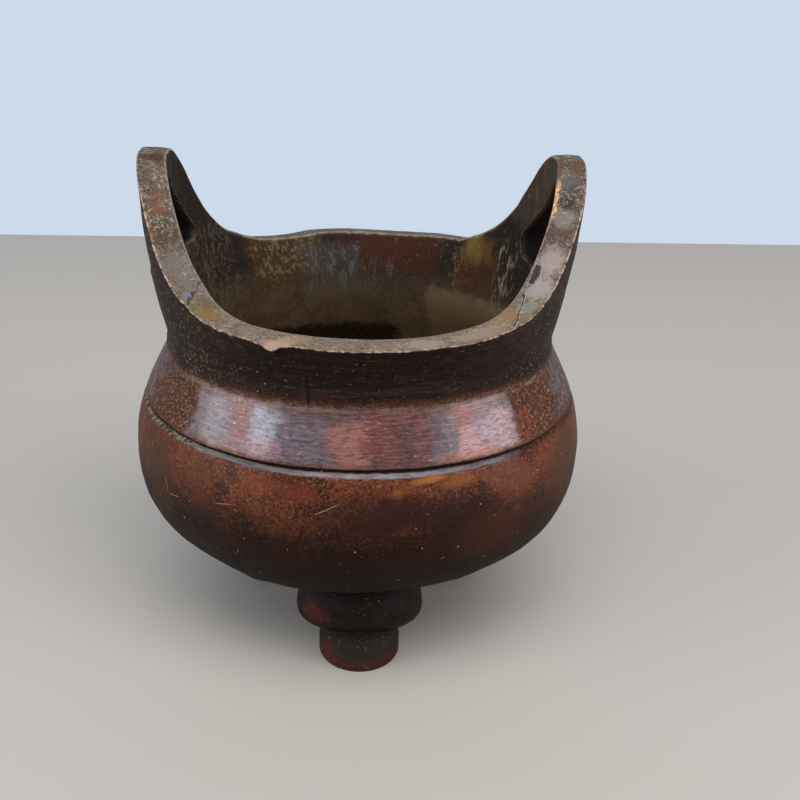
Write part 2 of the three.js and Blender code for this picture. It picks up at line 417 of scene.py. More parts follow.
wall_sizes = {
    "Crowding": front_crowding,
    "Neck radius": neck_radius,
    "Neck height": neck_z,
    "Lip height": lip_z,
    "Ear height": ear_z,
    "Lip flare": lip_flare,
    "Lip curl": lip_curl,
    "Lip reach": lip_reach,
    "Ear flare": ear_flare,
    "Ear curl": ear_curl,
    "Ear half angle": ear_half_angle,
    "Ear crown": ear_crown,
    "Ear sweep": ear_sweep,
    "Neck wall": neck_wall,
    "Lip wall": lip_wall,
    "Ear wall": ear_wall,
    "Joint face": joint_face,
    "Joint seat": seat_z,
    "Reach": 2 * belly_radius,
}


def turned_wall_tree():
    """The bowl: an outline turned round the axis, rising with the ears, a notch sawn for each of them."""
    tree, given, exit_socket = new_tree(
        "turned wall",
        "Geometry",
        "Geometry",
        Int=["Columns"],
        Float=wall_sizes,
        Object=["Outline"],
        Material=["Finish"],
    )
    grid, turn, (out, _, up), (share, side, wall) = sheet_of_rows(
        tree, given["Columns"], given["Outline"], "share", "side", "wall"
    )
    turn = turn - given["Crowding"] * turn.math("SINE")
    off_ear = turn.math("COSINE").math("ABSOLUTE").math("ARCSINE").math("DEGREES")
    power = given["Ear crown"] + given["Ear sweep"] * off_ear
    ear = 1 / ((off_ear / given["Ear half angle"]) ** power + 1)
    neck, highest = given["Neck height"], given["Ear height"]
    top = given["Lip height"] + (highest - given["Lip height"]) * ear
    height = neck + (top - neck) * share - up
    reached = ((height - neck) / (top - neck)).math("ADD", 0.0, clamp=True)
    left = ((highest - height) / (highest - neck)).math("MAXIMUM", 0.0)
    stood = given["Ear flare"] * (1 - left ** given["Ear curl"])
    flared = given["Lip flare"] * reached ** given["Lip curl"]
    lip = (ear / given["Lip reach"] * -1).math("EXPONENT")
    outer = given["Neck radius"] + stood + (flared - stood) * lip
    rim_wall = given["Lip wall"] + (given["Ear wall"] - given["Lip wall"]) * ear
    thick = given["Neck wall"] + (rim_wall - given["Neck wall"]) * reached
    radius = out + (outer - side * thick) * wall
    height = up + (height - up) * wall
    place = combine(tree, radius * turn.math("SINE"), radius * turn.math("COSINE") * -1, height)
    closed = moved_and_closed(tree, grid, place)
    cutters = add(tree, "GeometryNodeJoinGeometry")
    reach = given["Reach"]
    cube = add(tree, "GeometryNodeMeshCube", Size=combine(tree, reach, reach * 2, reach))
    for way in (-1, 1):
        spot = combine(tree, (given["Joint face"] + reach / 2) * way, 0.0, given["Joint seat"] + reach / 2)
        moved = add(tree, "GeometryNodeTransform", Geometry=cube, Translation=spot)
        tree.links.new(moved.socket, cutters.socket.node.inputs[0])
    settings = {"operation": "DIFFERENCE", "solver": "MANIFOLD"}
    inputs = {"Mesh_1": closed, "Mesh_2": cutters}
    cut = add(tree, "GeometryNodeMeshBoolean", settings, output="Mesh", **inputs)
    return finished(tree, exit_socket, cut, given["Finish"])


def foot_tree():
    """A foot: an outline turned round a leaning axis, level at the table and shaped to the belly on top."""
    tree, given, exit_socket = new_tree(
        "splayed foot",
        "Geometry",
        "Geometry",
        Int=["Columns"],
        Object=["Outline", "Bowl"],
        Float=["Splay", "Circle", "Turn", "Seat gap"],
        Material=["Finish"],
    )
    grid, around, (radius, _, along), (sole, seat) = sheet_of_rows(
        tree, given["Columns"], given["Outline"], "sole", "seat"
    )
    across = radius * around.math("SINE")
    out = radius * around.math("COSINE") * -1
    lean, upright = given["Splay"].math("SINE"), given["Splay"].math("COSINE")
    table = out * lean / upright
    along = (along + sole * (table - along)).math("MAXIMUM", table)

    def in_place(x, y, z):
        settings = {"rotation_type": "Z_AXIS"}
        vector = combine(tree, x, y, z)
        return add(tree, "ShaderNodeVectorRotate", settings, Vector=vector, Angle=given["Turn"])

    start = in_place(across, out * upright - given["Circle"] + along * lean, along * upright - out * lean)
    axis = in_place(0.0, lean, upright)
    belly = add(tree, "GeometryNodeObjectInfo", output="Geometry", Object=given["Bowl"])
    aim = {"Target_Geometry": belly, "Source_Position": start, "Ray_Direction": axis}
    free = add(tree, "GeometryNodeRaycast", output="Hit Distance", **aim)
    climb = axis.scaled((free - given["Seat gap"]) * seat)
    closed = moved_and_closed(tree, grid, start.math("ADD", climb, kind="VectorMath"))
    return finished(tree, exit_socket, closed, given["Finish"])


def grown(name, tree, values):
    """The plain mesh object that a node tree makes with these inputs, its faces pointing out."""
    piece = bpy.data.objects.new(name, bpy.data.meshes.new(name))
    bpy.context.collection.objects.link(piece)
    modifier = piece.modifiers.new("shape", "NODES")
    modifier.node_group = tree
    for item in tree.interface.items_tree:
        if item.item_type == "SOCKET" and item.in_out == "INPUT":
            modifier[item.identifier] = values[item.name]
    graph = bpy.context.evaluated_depsgraph_get()
    shape = piece.evaluated_get(graph)
    made = bpy.data.meshes.new_from_object(shape, preserve_all_data_layers=True, depsgraph=graph)
    piece.modifiers.remove(modifier)
    piece.data = made
    made.name = name
    face_out(made)
    bpy.data.objects.remove(values["Outline"])
    return piece


def face_out(mesh):
    solid = bmesh.new()
    solid.from_mesh(mesh)
    if solid.calc_volume(signed=True) < 0:
        bmesh.ops.reverse_faces(solid, faces=solid.faces)
        solid.to_mesh(mesh)
    solid.free()


# Bowl
def make_bowl(finish):
    outline = outline_object("bowl_outline", *bowl_rows())
    own = {"Columns": bowl_columns, "Outline": outline, "Finish": finish}
    return grown("bronze_bowl", turned_wall_tree(), {**wall_sizes, **own})


# Ears
seam_gap = 0.02 * mm
hole_centre_share = 0.62
arc_points = 400
outline_points = 4000


def hole_middles(hole):
    """Heights of the middles of the hole's crown and corners, and its corners' distance off the middle."""
    crown_z = ear_z - hole["cover"] - hole["crown"]
    corner_z = lip_z + hole["sill"] + hole["corner"]
    return crown_z, corner_z, ear_width / 2 - hole["inset"] - hole["corner"]


def hole_outline(grow, hole):
    """The hole's outline of (y, z), a round-cornered triangle, grown outwards by some."""
    crown = hole["crown"] + grow
    corner = hole["corner"] + grow
    crown_z, corner_z, corner_y = hole_middles(hole)
    fall = crown_z - corner_z
    length = math.hypot(corner_y, fall)
    tangent = math.atan2(-fall, corner_y) + math.acos((crown - corner) / length)
    arcs = []
    for middle_y, middle_z, radius, start, end in (
        (0, crown_z, crown, math.pi - tangent, tangent),
        (corner_y, corner_z, corner, tangent, -math.pi / 2),
        (-corner_y, corner_z, corner, -math.pi / 2, -math.pi - tangent),
    ):
        angles = np.linspace(start, end, arc_points)
        arcs.append(np.stack([middle_y + radius * np.cos(angles), middle_z + radius * np.sin(angles)], 1))
    joined = np.concatenate(arcs + [arcs[0][:1]])
    gaps = np.concatenate([[0], np.cumsum(np.hypot(*np.diff(joined, axis=0).T))])
    even = np.linspace(0, gaps[-1], outline_points, endpoint=False)
    return np.stack([np.interp(even, gaps, joined[:, 0]), np.interp(even, gaps, joined[:, 1])], axis=1)


def joint_angle(radius_at):
    """Off the ear's middle, the angle where a row whose radius follows the ear meets the joint's face."""
    angle = 45 * degree
    for _ in range(30):
        angle = math.acos(min(1, (joint_face + seam_gap) / radius_at(math.pi / 2 + angle)))
    return angle


def ear_point(angle, radius, height):
    return np.stack([radius * np.cos(angle), radius * np.sin(angle), height], axis=-1)


class EarShape:
    """One tube of rings, from the ear's outer face through its hole to its inner face, closed by the rim's
    rounded top, the seat below and the two joint faces. Angles are off the right ear's middle."""

    def __init__(self, hole):
        self.hole = hole
        crown_z, corner_z, _ = hole_middles(hole)
        self.middle_z = mix(crown_z, corner_z, hole_centre_share)
        outer, self.bearings = self.sheet(0, None)
        inner, _ = self.sheet(1, self.bearings)
        self.count = len(self.bearings)
        self.vertices = self.tube(outer, inner)
        self.faces = self.tube_faces()
        self.close()

    def on_hole(self, grow):
        """Points of the hole's outline that lie at the spokes' bearings from the hole's middle."""
        points = hole_outline(grow, self.hole)
        found = np.arctan2(points[:, 1] - self.middle_z, points[:, 0])
        reach = np.hypot(points[:, 0], points[:, 1] - self.middle_z)
        order = np.argsort(found)
        distance = np.interp(self.bearings, found[order], reach[order], period=math.tau)
        return distance * np.cos(self.bearings), self.middle_z + distance * np.sin(self.bearings)

    def hole_angle(self, y, z, side):
        angle = np.arcsin(y / neck_radius)
        for _ in range(20):
            angle = np.arcsin(y / wall_radius(math.pi / 2 + angle, z, side))
        return angle

    def sheet(self, side, bearings):
        """The rings of one face of the ear, from its outer boundary to the hole, as (angle, height)."""
        row = rim_profile()[0 if side == 0 else -1]
        rim_end = joint_angle(lambda turn: rim_point(turn, *row)[0])
        rim_end_z = rim_point(math.pi / 2 + rim_end, *row)[1]
        bottom = seat_z + seam_gap

        def ends(heights):
            return np.array([joint_angle(lambda turn: wall_radius(turn, z, side)) for z in heights])

        along = np.linspace(-1, 1, ear_seat_columns, endpoint=False)
        seat = np.stack([along * ends([bottom])[0], np.full_like(along, bottom)], 1)
        heights = np.linspace(bottom, rim_end_z, ear_side_rows, endpoint=False)
        rear = np.stack([ends(heights), heights], 1)
        across = np.linspace(1, -1, ear_rim_columns, endpoint=False) * rim_end
        rim = np.stack([across, rim_point(math.pi / 2 + across, *row)[1]], 1)
        heights = np.linspace(rim_end_z, bottom, ear_side_rows, endpoint=False)
        front = np.stack([-ends(heights), heights], 1)
        boundary = np.concatenate([seat, rear, rim, front])
        if bearings is None:
            radius = wall_radius(math.pi / 2 + boundary[:, 0], boundary[:, 1], side)
            bearings = np.arctan2(boundary[:, 1] - self.middle_z, radius * np.sin(boundary[:, 0]))
        self.bearings = bearings
        y, z = self.on_hole(hole_round)
        hole = np.stack([self.hole_angle(y, z, side), z], 1)
        return mix(boundary, hole, np.linspace(0, 1, ear_rings)[:, None, None]), bearings

    def tube(self, outer, inner):
        def on_face(ring, side):
            angle, height = ring.T
            return ear_point(angle, wall_radius(math.pi / 2 + angle, height, side), height)

        edges = []
        for side in (0, 1):
            steps = []
            for bend in np.linspace(0, math.pi / 2, round_rows)[1:]:
                y, z = self.on_hole(hole_round * (1 - math.sin(bend)))
                sunk = hole_round * (1 - math.cos(bend)) * (1 - 2 * side)
                angle = self.hole_angle(y, z, side)
                radius = wall_radius(math.pi / 2 + angle, z, side)
                steps.append(np.stack([radius * np.cos(angle) - sunk, y, z], axis=-1))
            edges.append(steps)
        through = [mix(edges[0][-1], edges[1][-1], share) for share in np.linspace(0, 1, hole_rows)[1:-1]]
        front = [on_face(ring, 0) for ring in outer]
        back = [on_face(ring, 1) for ring in inner[::-1]]
        self.ring_count = len(front) + 2 * len(edges[0]) + len(through) + len(back)
        return np.concatenate(front + edges[0] + through + edges[1][::-1] + back)

    def tube_faces(self):
        faces = []
        for ring in range(self.ring_count - 1):
            low, high = ring * self.count, (ring + 1) * self.count
            for step in range(self.count):
                following = (step + 1) % self.count
                faces.append((low + step, low + following, high + following, high + step))
        return faces

    def close(self):
        last = (self.ring_count - 1) * self.count
        for step in range(ear_seat_columns):
            self.faces.append((step + 1, step, last + step, last + step + 1))
        start = ear_seat_columns + ear_side_rows
        rows = [list(range(start, start + ear_rim_columns + 1))]
        for row in rim_profile()[1:-1]:
            end = joint_angle(lambda turn: rim_point(turn, *row)[0])
            angle = np.linspace(1, -1, ear_rim_columns + 1) * end
            rows.append(list(range(len(self.vertices), len(self.vertices) + len(angle))))
            radius, height = rim_point(math.pi / 2 + angle, *row)
            self.vertices = np.concatenate([self.vertices, ear_point(angle, radius, height)])
        rows.append([last + index for index in rows[0]])
        for low, high in zip(rows, rows[1:]):
            for step in range(ear_rim_columns):
                self.faces.append((low[step + 1], low[step], high[step], high[step + 1]))
        rear = list(range(ear_seat_columns, start))
        self.faces.append(rear + [row[0] for row in rows] + [last + index for index in rear][::-1])
        first = start + ear_rim_columns
        front = [index % self.count for index in range(first + 1, first + ear_side_rows + 1)]
        self.faces.append([row[-1] for row in rows][::-1] + front + [last + index for index in front][::-1])


def make_ear(name, side, hole, finish):
    shape = EarShape(hole)
    mesh = bpy.data.meshes.new(name)
    mesh.from_pydata((shape.vertices * (side, 1, 1)).tolist(), [], shape.faces)
    mesh.validate()
    mesh.materials.append(finish)
    edge = np.zeros(len(mesh.vertices))
    hole_ring_count = 2 * (round_rows - 1) + hole_rows - 2
    for ring in (1, hole_ring_count - 2):
        start = (ear_rings + ring) * shape.count
        edge[start : start + shape.count] = 1
    store(mesh, "hole_edge", edge)
    face_out(mesh)
    ear = bpy.data.objects.new(name, mesh)
    bpy.context.collection.objects.link(ear)
    return ear


# Feet
def foot_rows():
    """Rows of a foot's outline: radius, place along the foot, pull to the table and pull to the belly."""
    bulb_reach = toe_length + bulb_rise
    rows = [(0, toe_length, 1, 0), (0.5 * toe_radius, toe_length, 1, 0)]
    for bend in np.linspace(0, math.pi / 2, sole_rows):
        inset = sole_edge * (1 - math.sin(bend))
        lift = sole_edge * (1 - math.cos(bend)) / toe_length
        rows.append((toe_radius - inset, toe_length, 1 - lift, 0))
    rows += [(toe_radius, toe_length, 1 - share, 0) for share in np.linspace(*toe_stretch, toe_rows)]
    under = toe_length + cove_height
    toe_edge, cove_start = (toe_radius, toe_length), (cove_radius, toe_length)
    bulb_start = (toe_radius + toe_step, under)
    for count, skipped, curve in (
        (ledge_rows, 0, ((toe_radius, toe_length - ledge_round), toe_edge, cove_start)),
        (cove_rows, 1, (cove_start, (cove_radius, under), bulb_start)),
        (bulb_rows, 1, (bulb_start, (bulb_radius, under + bulb_hang), (bulb_radius, bulb_reach))),
    ):
        rows += [(radius, along, 0, 0) for radius, along in bezier(*curve, count=count)[skipped:]]
    held = bezier((bulb_radius,), (bulb_radius,), (bulb_neck_radius,), count=held_steps + 1)[:, 0]
    for share in np.linspace(0, 1, held_rows)[1:]:
        rows.append((held[int(held_steps * share)], bulb_reach, 0, share))
    rows += [(bulb_neck_radius * share, bulb_reach, 0, 1) for share in np.linspace(1, 0, seat_rows)[1:]]
    return np.array(rows)


def make_foot(name, tree, index, bowl, finish):
    rows = foot_rows()
    values = {
        "Columns": foot_columns,
        "Outline": outline_object("foot_outline", rows[:, :2], {"sole": rows[:, 2], "seat": rows[:, 3]}),
        "Bowl": bowl,
        "Splay": foot_splay,
        "Circle": foot_circle,
        "Turn": index * math.tau / foot_count,
        "Seat gap": foot_gap,
        "Finish": finish,
    }
    return grown(name, tree, values)


# Where a point lies on the wall, measured before the casting's unevenness is added
floor_margin = 0.05 * mm


class Place:
    """Turn, radius, height and the distances from the bowl's surfaces of every point of a piece."""

    def __init__(self, points):
        x, y, self.height = points.T
        self.turn = np.arctan2(x, -y)
        self.radius = np.hypot(x, y)
        outer_belly = belly_curve(belly_radius, belly_z - underside_z, belly_fullness, 0, 200)
        outer_low = np.concatenate([outer_belly, shoulder_curve()[1:], [(neck_radius, neck_z)]])
        inner_low = np.concatenate([inner_belly_curve(), inner_shoulder_curve()[::-1][1:]])
        above = self.height > neck_z
        self.top = wall_top(self.turn)
        self.outer, self.inner = [
            np.where(
                above,
                wall_radius(self.turn, self.height, side),
                np.interp(self.height + side * floor_margin, low[:, 1], low[:, 0], left=0),
            )
            for side, low in ((0, outer_low), (1, inner_low))
        ]
        self.across = ((self.outer - self.radius) / np.maximum(self.outer - self.inner, 1e-6)).clip(0, 1)
        self.below_rim = self.top - self.height


def inside_share(place):
    """1 on the bowl's inner face, 0 on its outer face, and in between on the rim."""
    return np.where(place.height > above_floor_z, smooth(0.75, 0.95, place.across), 0)


# This burner's own marks: how much higher its rim is at turns from the front, in degrees and millimetres
rim_rises = (
    (-180, 0), (-174, 0.09), (-169, 0.12), (-164, -0.06), (-161, -0.38), (-159, -0.6), (-156, -0.75),
    (-150, -0.8), (-143, -0.75), (-138, -0.2), (-134, 0.25), (-128, 0.3), (-122, 0.62), (-115, 0.78),
    (-103, 0.78), (-97, 0.4), (-90, -0.2), (-80, 0), (-55, 0.15), (-40, 0), (40, 0), (80, 0), (90, -0.25),
    (97, 0.15), (105, 1.3), (113, 1.4), (118, 1.2), (122, 1.5), (127, 1.5), (132, 1.2), (136, 0.6),
    (138.1, 0.4), (139.3, 0.1), (140.5, 0), (142.7, -0.36), (143.9, -0.5), (145, -0.29), (147, -0.25),
    (150, -0.15), (155, -0.12), (163, -0.14), (168, -0.16), (180, 0),
)
back_rim_turns = (104, 138)
back_rim_tilt = 0.6 * mm
back_rim_thinning = 1.2 * mm
back_rim_fade = 5 * mm
back_rim_pivot = 0.15
rim_rise_reach = 6 * mm

# How far the joints wander along the wall from their sawn faces, in degrees, at shares of the way across
# the rim from the outside in
seam_shares = (0, 0.46, 0.62, 0.85, 0.9, 1)
seam_wander = {
    45: (-7.7, -4.6, -1.9, -0.6, 0.4, 7.0),
    -45: (-5.0, -2.6, -1.8, -1.0, -0.6, 0),
    135: (0, -0.5, -1, -2.0, -2.5, -4.0),
}
seam_reach = 10.5
seam_roughness = 1.7

# Burr and broken edge at the front of the lip, and a pocket by the right ear's joint
burr_turn = -20.3
burr_size = 1.5 * mm
burr_turns = (-8, -4, -0.6, 0.3, 1.2, 2.6, 4)
burr_shares = (0, 0.35, 1, 0.85, 0.3, 0.12, 0)
burr_out = 0.55
burr_down = 0.75
burr_fade = 1.5 * mm
broken_turns = (-47, -25)
broken_depth = 0.7 * mm
broken_fade = 3
broken_down = 0.3
broken_reach = 1.1 * mm
pocket_turn = 59
pocket_across = 0.82
pocket_depth = 0.6 * mm
pocket_fade = 1 * mm
pocket_half_turn = 3
pocket_half_width = 0.09

# The casting's unevenness: the scale, the size and the seed of each layer
cast_layers = ((17 * mm, 0.32 * mm, 1), (6 * mm, 0.1 * mm, 2), (2.2 * mm, 0.035 * mm, 3))
even_near_table = 8 * mm


def bump_at(value, middle, reach):
    return np.exp(-(((value - middle) / reach) ** 2))


def wandering(points, scale, seed):
    """A smooth random shift of each point, the same for every piece and in every run, at this scale."""
    offset = Vector((seed * 7.13, seed * 3.71, seed * 5.29))
    starts = [offset + Vector((9.3, -1.5, -8.0)) * axis for axis in range(3)]
    places = [Vector(point) / scale for point in points.tolist()]
    return np.array([[noise.noise(place + start) for start in starts] for place in places])


def unevenness(values, scale, seed):
    return np.array([noise.noise(Vector((value / scale, seed, 1.7))) for value in values.tolist()])


def slid_along_wall(points, place, turn):
    """Slides points along the wall near the joints, so that these wander as the real ones do."""
    share = ((place.height - neck_z) / (place.top - neck_z)).clip(0, 1)
    on_wall = place.height > neck_z
    slide = np.zeros(len(points))
    for joint, shifts in seam_wander.items():
        reach = np.maximum(mix(place.outer, place.inner, place.across), joint_face)
        middle = np.degrees(np.arccos(joint_face / reach))
        middle = math.copysign(1, joint) * np.where(abs(joint) < 90, 90 - middle, 90 + middle)
        shift = np.interp(place.across, seam_shares, shifts)
        shift += seam_roughness * unevenness(place.across, 0.11, joint)
        slide += shift * bump_at(turn, middle, seam_reach)
    slide *= smooth(0.05, 0.9, share)
    new_turn = place.turn + np.radians(slide)
    new_height = neck_z + share * (wall_top(new_turn) - neck_z)
    new_outer, new_inner = [wall_radius(new_turn, new_height, side) for side in (0, 1)]
    new_radius = place.radius + mix(new_outer - place.outer, new_inner - place.inner, place.across)
    slid = np.stack([new_radius * np.sin(new_turn), -new_radius * np.cos(new_turn), new_height], axis=1)
    return np.where((on_wall & (np.abs(slide) > 1e-4))[:, None], slid, points)


def weathered(mesh):
    """Adds the casting's unevenness and this burner's own marks, and stores where the edges are."""
    points = np.empty(len(mesh.vertices) * 3, np.float32)
    mesh.vertices.foreach_get("co", points)
    points = points.reshape(-1, 3).astype(float)
    place = Place(points)
    turn = np.degrees(place.turn)
    outward = np.stack([np.sin(place.turn), -np.cos(place.turn), np.zeros(len(points))], axis=1)
    on_wall = place.height > neck_z
    wall = smooth(neck_z, neck_z + rim_rise_reach, place.height) * on_wall

    outer_edge = np.hypot(place.outer - place.radius, place.below_rim)
    inner_edge = np.hypot(place.radius - place.inner, place.below_rim)
    deep = smooth(1.5 * mm, 3 * mm, place.below_rim)
    store(mesh, "outer_edge", outer_edge / mm)
    store(mesh, "inner_edge", inner_edge / mm)
    store(mesh, "inside", inside_share(place))
    store(mesh, "rim", smooth(0.5 * mm, 0.15 * mm, place.below_rim) * smooth(0, 0.05, place.across))
    # The walls of the ears' holes, kept here, are painted black: painted shade over dark patina.
    within = smooth(0.04, 0.12, place.across) * smooth(0.99, 0.7, place.across)
    store(mesh, "hole", deep * within * on_wall)
    seam = np.abs(np.abs(points[:, 0]) - joint_face - seam_gap / 2)
    store(mesh, "seam", np.where(place.height > seat_z - 0.2 * mm, seam, 9 * mm) / mm)
    if wall_finish.name in mesh.materials:
        upper = (place.height > neck_top_z) | (place.across > 0.5) & (place.height > above_floor_z)
        finishes = [int(upper[list(face.vertices)].all()) for face in mesh.polygons]
        mesh.polygons.foreach_set("material_index", finishes)

    moved = slid_along_wall(points, place, turn)
    turns, rises = np.array(rim_rises).T
    back = smooth(*back_rim_turns, np.abs(turn)) * np.exp(-place.below_rim / back_rim_fade) * on_wall
    tilt = back_rim_tilt * back * (place.across - back_rim_pivot)
    moved[:, 2] += np.interp(turn, turns, rises) * mm * wall + tilt
    moved += outward * (back_rim_thinning * back * place.across**2)[:, None]

    near_edge = np.exp(-outer_edge / broken_reach) * on_wall
    start, end = broken_turns
    broken = smooth(start - broken_fade, start + broken_fade, turn) * smooth(end + broken_fade, end, turn)
    chip = broken_depth * broken * (0.6 + 0.8 * unevenness(turn, 2.2, 3)) * near_edge
    flap = np.interp(turn - burr_turn, burr_turns, burr_shares)
    burr = burr_size * flap * np.exp(-outer_edge / burr_fade) * on_wall
    moved += outward * (burr_out * burr - chip)[:, None]
    moved[:, 2] -= burr_down * burr + broken_down * chip
    pocket = bump_at(turn, pocket_turn, pocket_half_turn)
    pocket *= bump_at(place.across, pocket_across, pocket_half_width)
    moved[:, 2] -= pocket_depth * pocket * np.exp(-place.below_rim / pocket_fade) * on_wall

    for scale, size, seed in cast_layers:
        moved += wandering(points, scale, seed) * size * smooth(0, even_near_table, place.height)[:, None]
    mesh.vertices.foreach_set("co", moved.astype(np.float32).ravel())
    mesh.update()


# Finishes
def srgb(*levels):
    """A colour as it looks on screen, 0 to 255, as the numbers that the renderer works in."""
    shares = [level / 255 for level in levels]
    return (*(s / 12.92 if s <= 0.04045 else ((s + 0.055) / 1.055) ** 2.4 for s in shares), 1)


def blend(share, low, high):
    """Between two colours, given as fields or as levels on screen."""
    tree = share.tree
    node = tree.nodes.new("ShaderNodeMix")
    node.data_type = "RGBA"
    plug(tree, share, node.inputs[0])
    for index, color in ((6, low), (7, high)):
        plug(tree, color if isinstance(color, Field) else srgb(*color), node.inputs[index])
    return Field(tree, node.outputs[2])


def ramp(value, low, high):
    """0 at low, 1 at high and smooth in between."""
    node = value.tree.nodes.new("ShaderNodeMapRange")
    node.interpolation_type = "SMOOTHSTEP"
    for index, given in enumerate((value, low, high)):
        plug(value.tree, given, node.inputs[index])
    return Field(value.tree, node.outputs[0])


def mapped(place, kind="POINT", **inputs):
    return add(place.tree, "ShaderNodeMapping", {"vector_type": kind}, Vector=place, **inputs)


def noise_texture(place, **inputs):
    return add(place.tree, "ShaderNodeTexNoise", Vector=place, Scale=1.0, **inputs)


def noisy(place, size, detail=4.0, roughness=0.65):
    """Noise around zero at this size in millimetres."""
    factor = 1 / (size * mm)
    return noise_texture(mapped(place, Scale=(factor,) * 3), Detail=detail, Roughness=roughness) - 0.5


def gradient(place, kind):
    return add(place.tree, "ShaderNodeTexGradient", {"gradient_type": kind}, output="Fac", Vector=place)


def cells(place, **scale):
    """The distance from a point in each cell of a grid, and two random numbers for the cell."""
    grid = mapped(place, "TEXTURE", **scale)
    distance = add(place.tree, "ShaderNodeTexVoronoi", output="Distance", Vector=grid, Scale=1.0)
    chance = add(place.tree, "ShaderNodeSeparateColor", Color=distance.sibling("Color"))
    return distance, chance, chance.sibling("Green")


def use(tree, group, **inputs):
    """Places a shader node group, with its inputs, and gives its output as a field."""
    node = tree.nodes.new("ShaderNodeGroup")
    node.node_tree = group
    for key, value in inputs.items():
        plug(tree, value, node.inputs[key.replace("_", " ").capitalize()])
    return Field(tree, node.outputs[0])


def mottling_group():
    """Soft irregular patches, 0 to 1."""
    tree, given, exit_socket = new_tree(
        "mottling", "Shader", "Float", Vector=["Place", "Scale", "Shift"], Float=["Low", "High"]
    )
    place = mapped(given["Place"], Scale=given["Scale"], Location=given["Shift"])
    patches = noise_texture(place, Detail=4.0, Roughness=0.6, Distortion=0.4)
    plug(tree, ramp(patches, given["Low"], given["High"]), exit_socket)
    return tree


def specks_group():
    """Small ragged specks: one in some of the cells of a grid."""
    tree, given, exit_socket = new_tree(
        "specks", "Shader", "Float", Vector=["Place", "Spacing"], Float=["Wobble", "Share", "Size"]
    )
    distance, chance, _ = cells(given["Place"], Scale=given["Spacing"])
    chosen = ((chance - 1 + given["Share"]) / given["Share"]).math("MAXIMUM", 0.0)
    reach = given["Size"] * chosen
    plug(tree, ramp(distance + given["Wobble"] * 0.3, reach, reach * 0.5), exit_socket)
    return tree


def scratches_group():
    """Thin straight scratches along one direction, broken up over the surface."""
    tree, given, exit_socket = new_tree(
        "scratches", "Shader", "Float", Vector=["Place", "Lean", "Spacing"], Float=["Share"]
    )
    distance, _, chance = cells(given["Place"], Rotation=given["Lean"], Scale=given["Spacing"])
    kept = ramp(chance, 1 - given["Share"], 1 - given["Share"] * 0.8)
    plug(tree, ramp(distance, 0.17, 0.05) * kept, exit_socket)
    return tree


def stain_group():
    """One stain: an ellipsoid round a place, turned with the wall and tilted on it, with a ragged edge."""
    sockets = {"Vector": ["Place", "Centre", "Facing", "Twice spread"], "Float": ["Wobble", "Soft"]}
    tree, given, exit_socket = new_tree("stain", "Shader", "Float", **sockets)
    inputs = {"Location": given["Centre"], "Rotation": given["Facing"], "Scale": given["Twice spread"]}
    place = mapped(given["Place"], "TEXTURE", **inputs)
    distance = (1 - gradient(place, "SPHERICAL")) * 2 + given["Wobble"]
    plug(tree, ramp(distance, 1 + given["Soft"], 1 - given["Soft"]), exit_socket)
    return tree


def panel_group():
    """A stretch of the wall between two turns and two heights, with ragged edges."""
    ways, parts = ("Turn", "Height"), ("", " wobble", " low", " high", " soft")
    labels = [way + part for way in ways for part in parts]
    tree, given, exit_socket = new_tree("panel", "Shader", "Float", Float=labels)
    mask = 1.0
    for way in ways:
        soft, low, high = given[way + " soft"], given[way + " low"], given[way + " high"]
        value = given[way] + given[way + " wobble"] * soft
        mask = ramp(value, low - soft, low + soft) * ramp(value, high + soft, high - soft) * mask
    plug(tree, mask, exit_socket)
    return tree


mottling = mottling_group()
specks = specks_group()
scratches = scratches_group()
stain = stain_group()
panel = panel_group()


# Turns of a panel that goes all the way round, edges out of sight
all_round = (-181, 181)


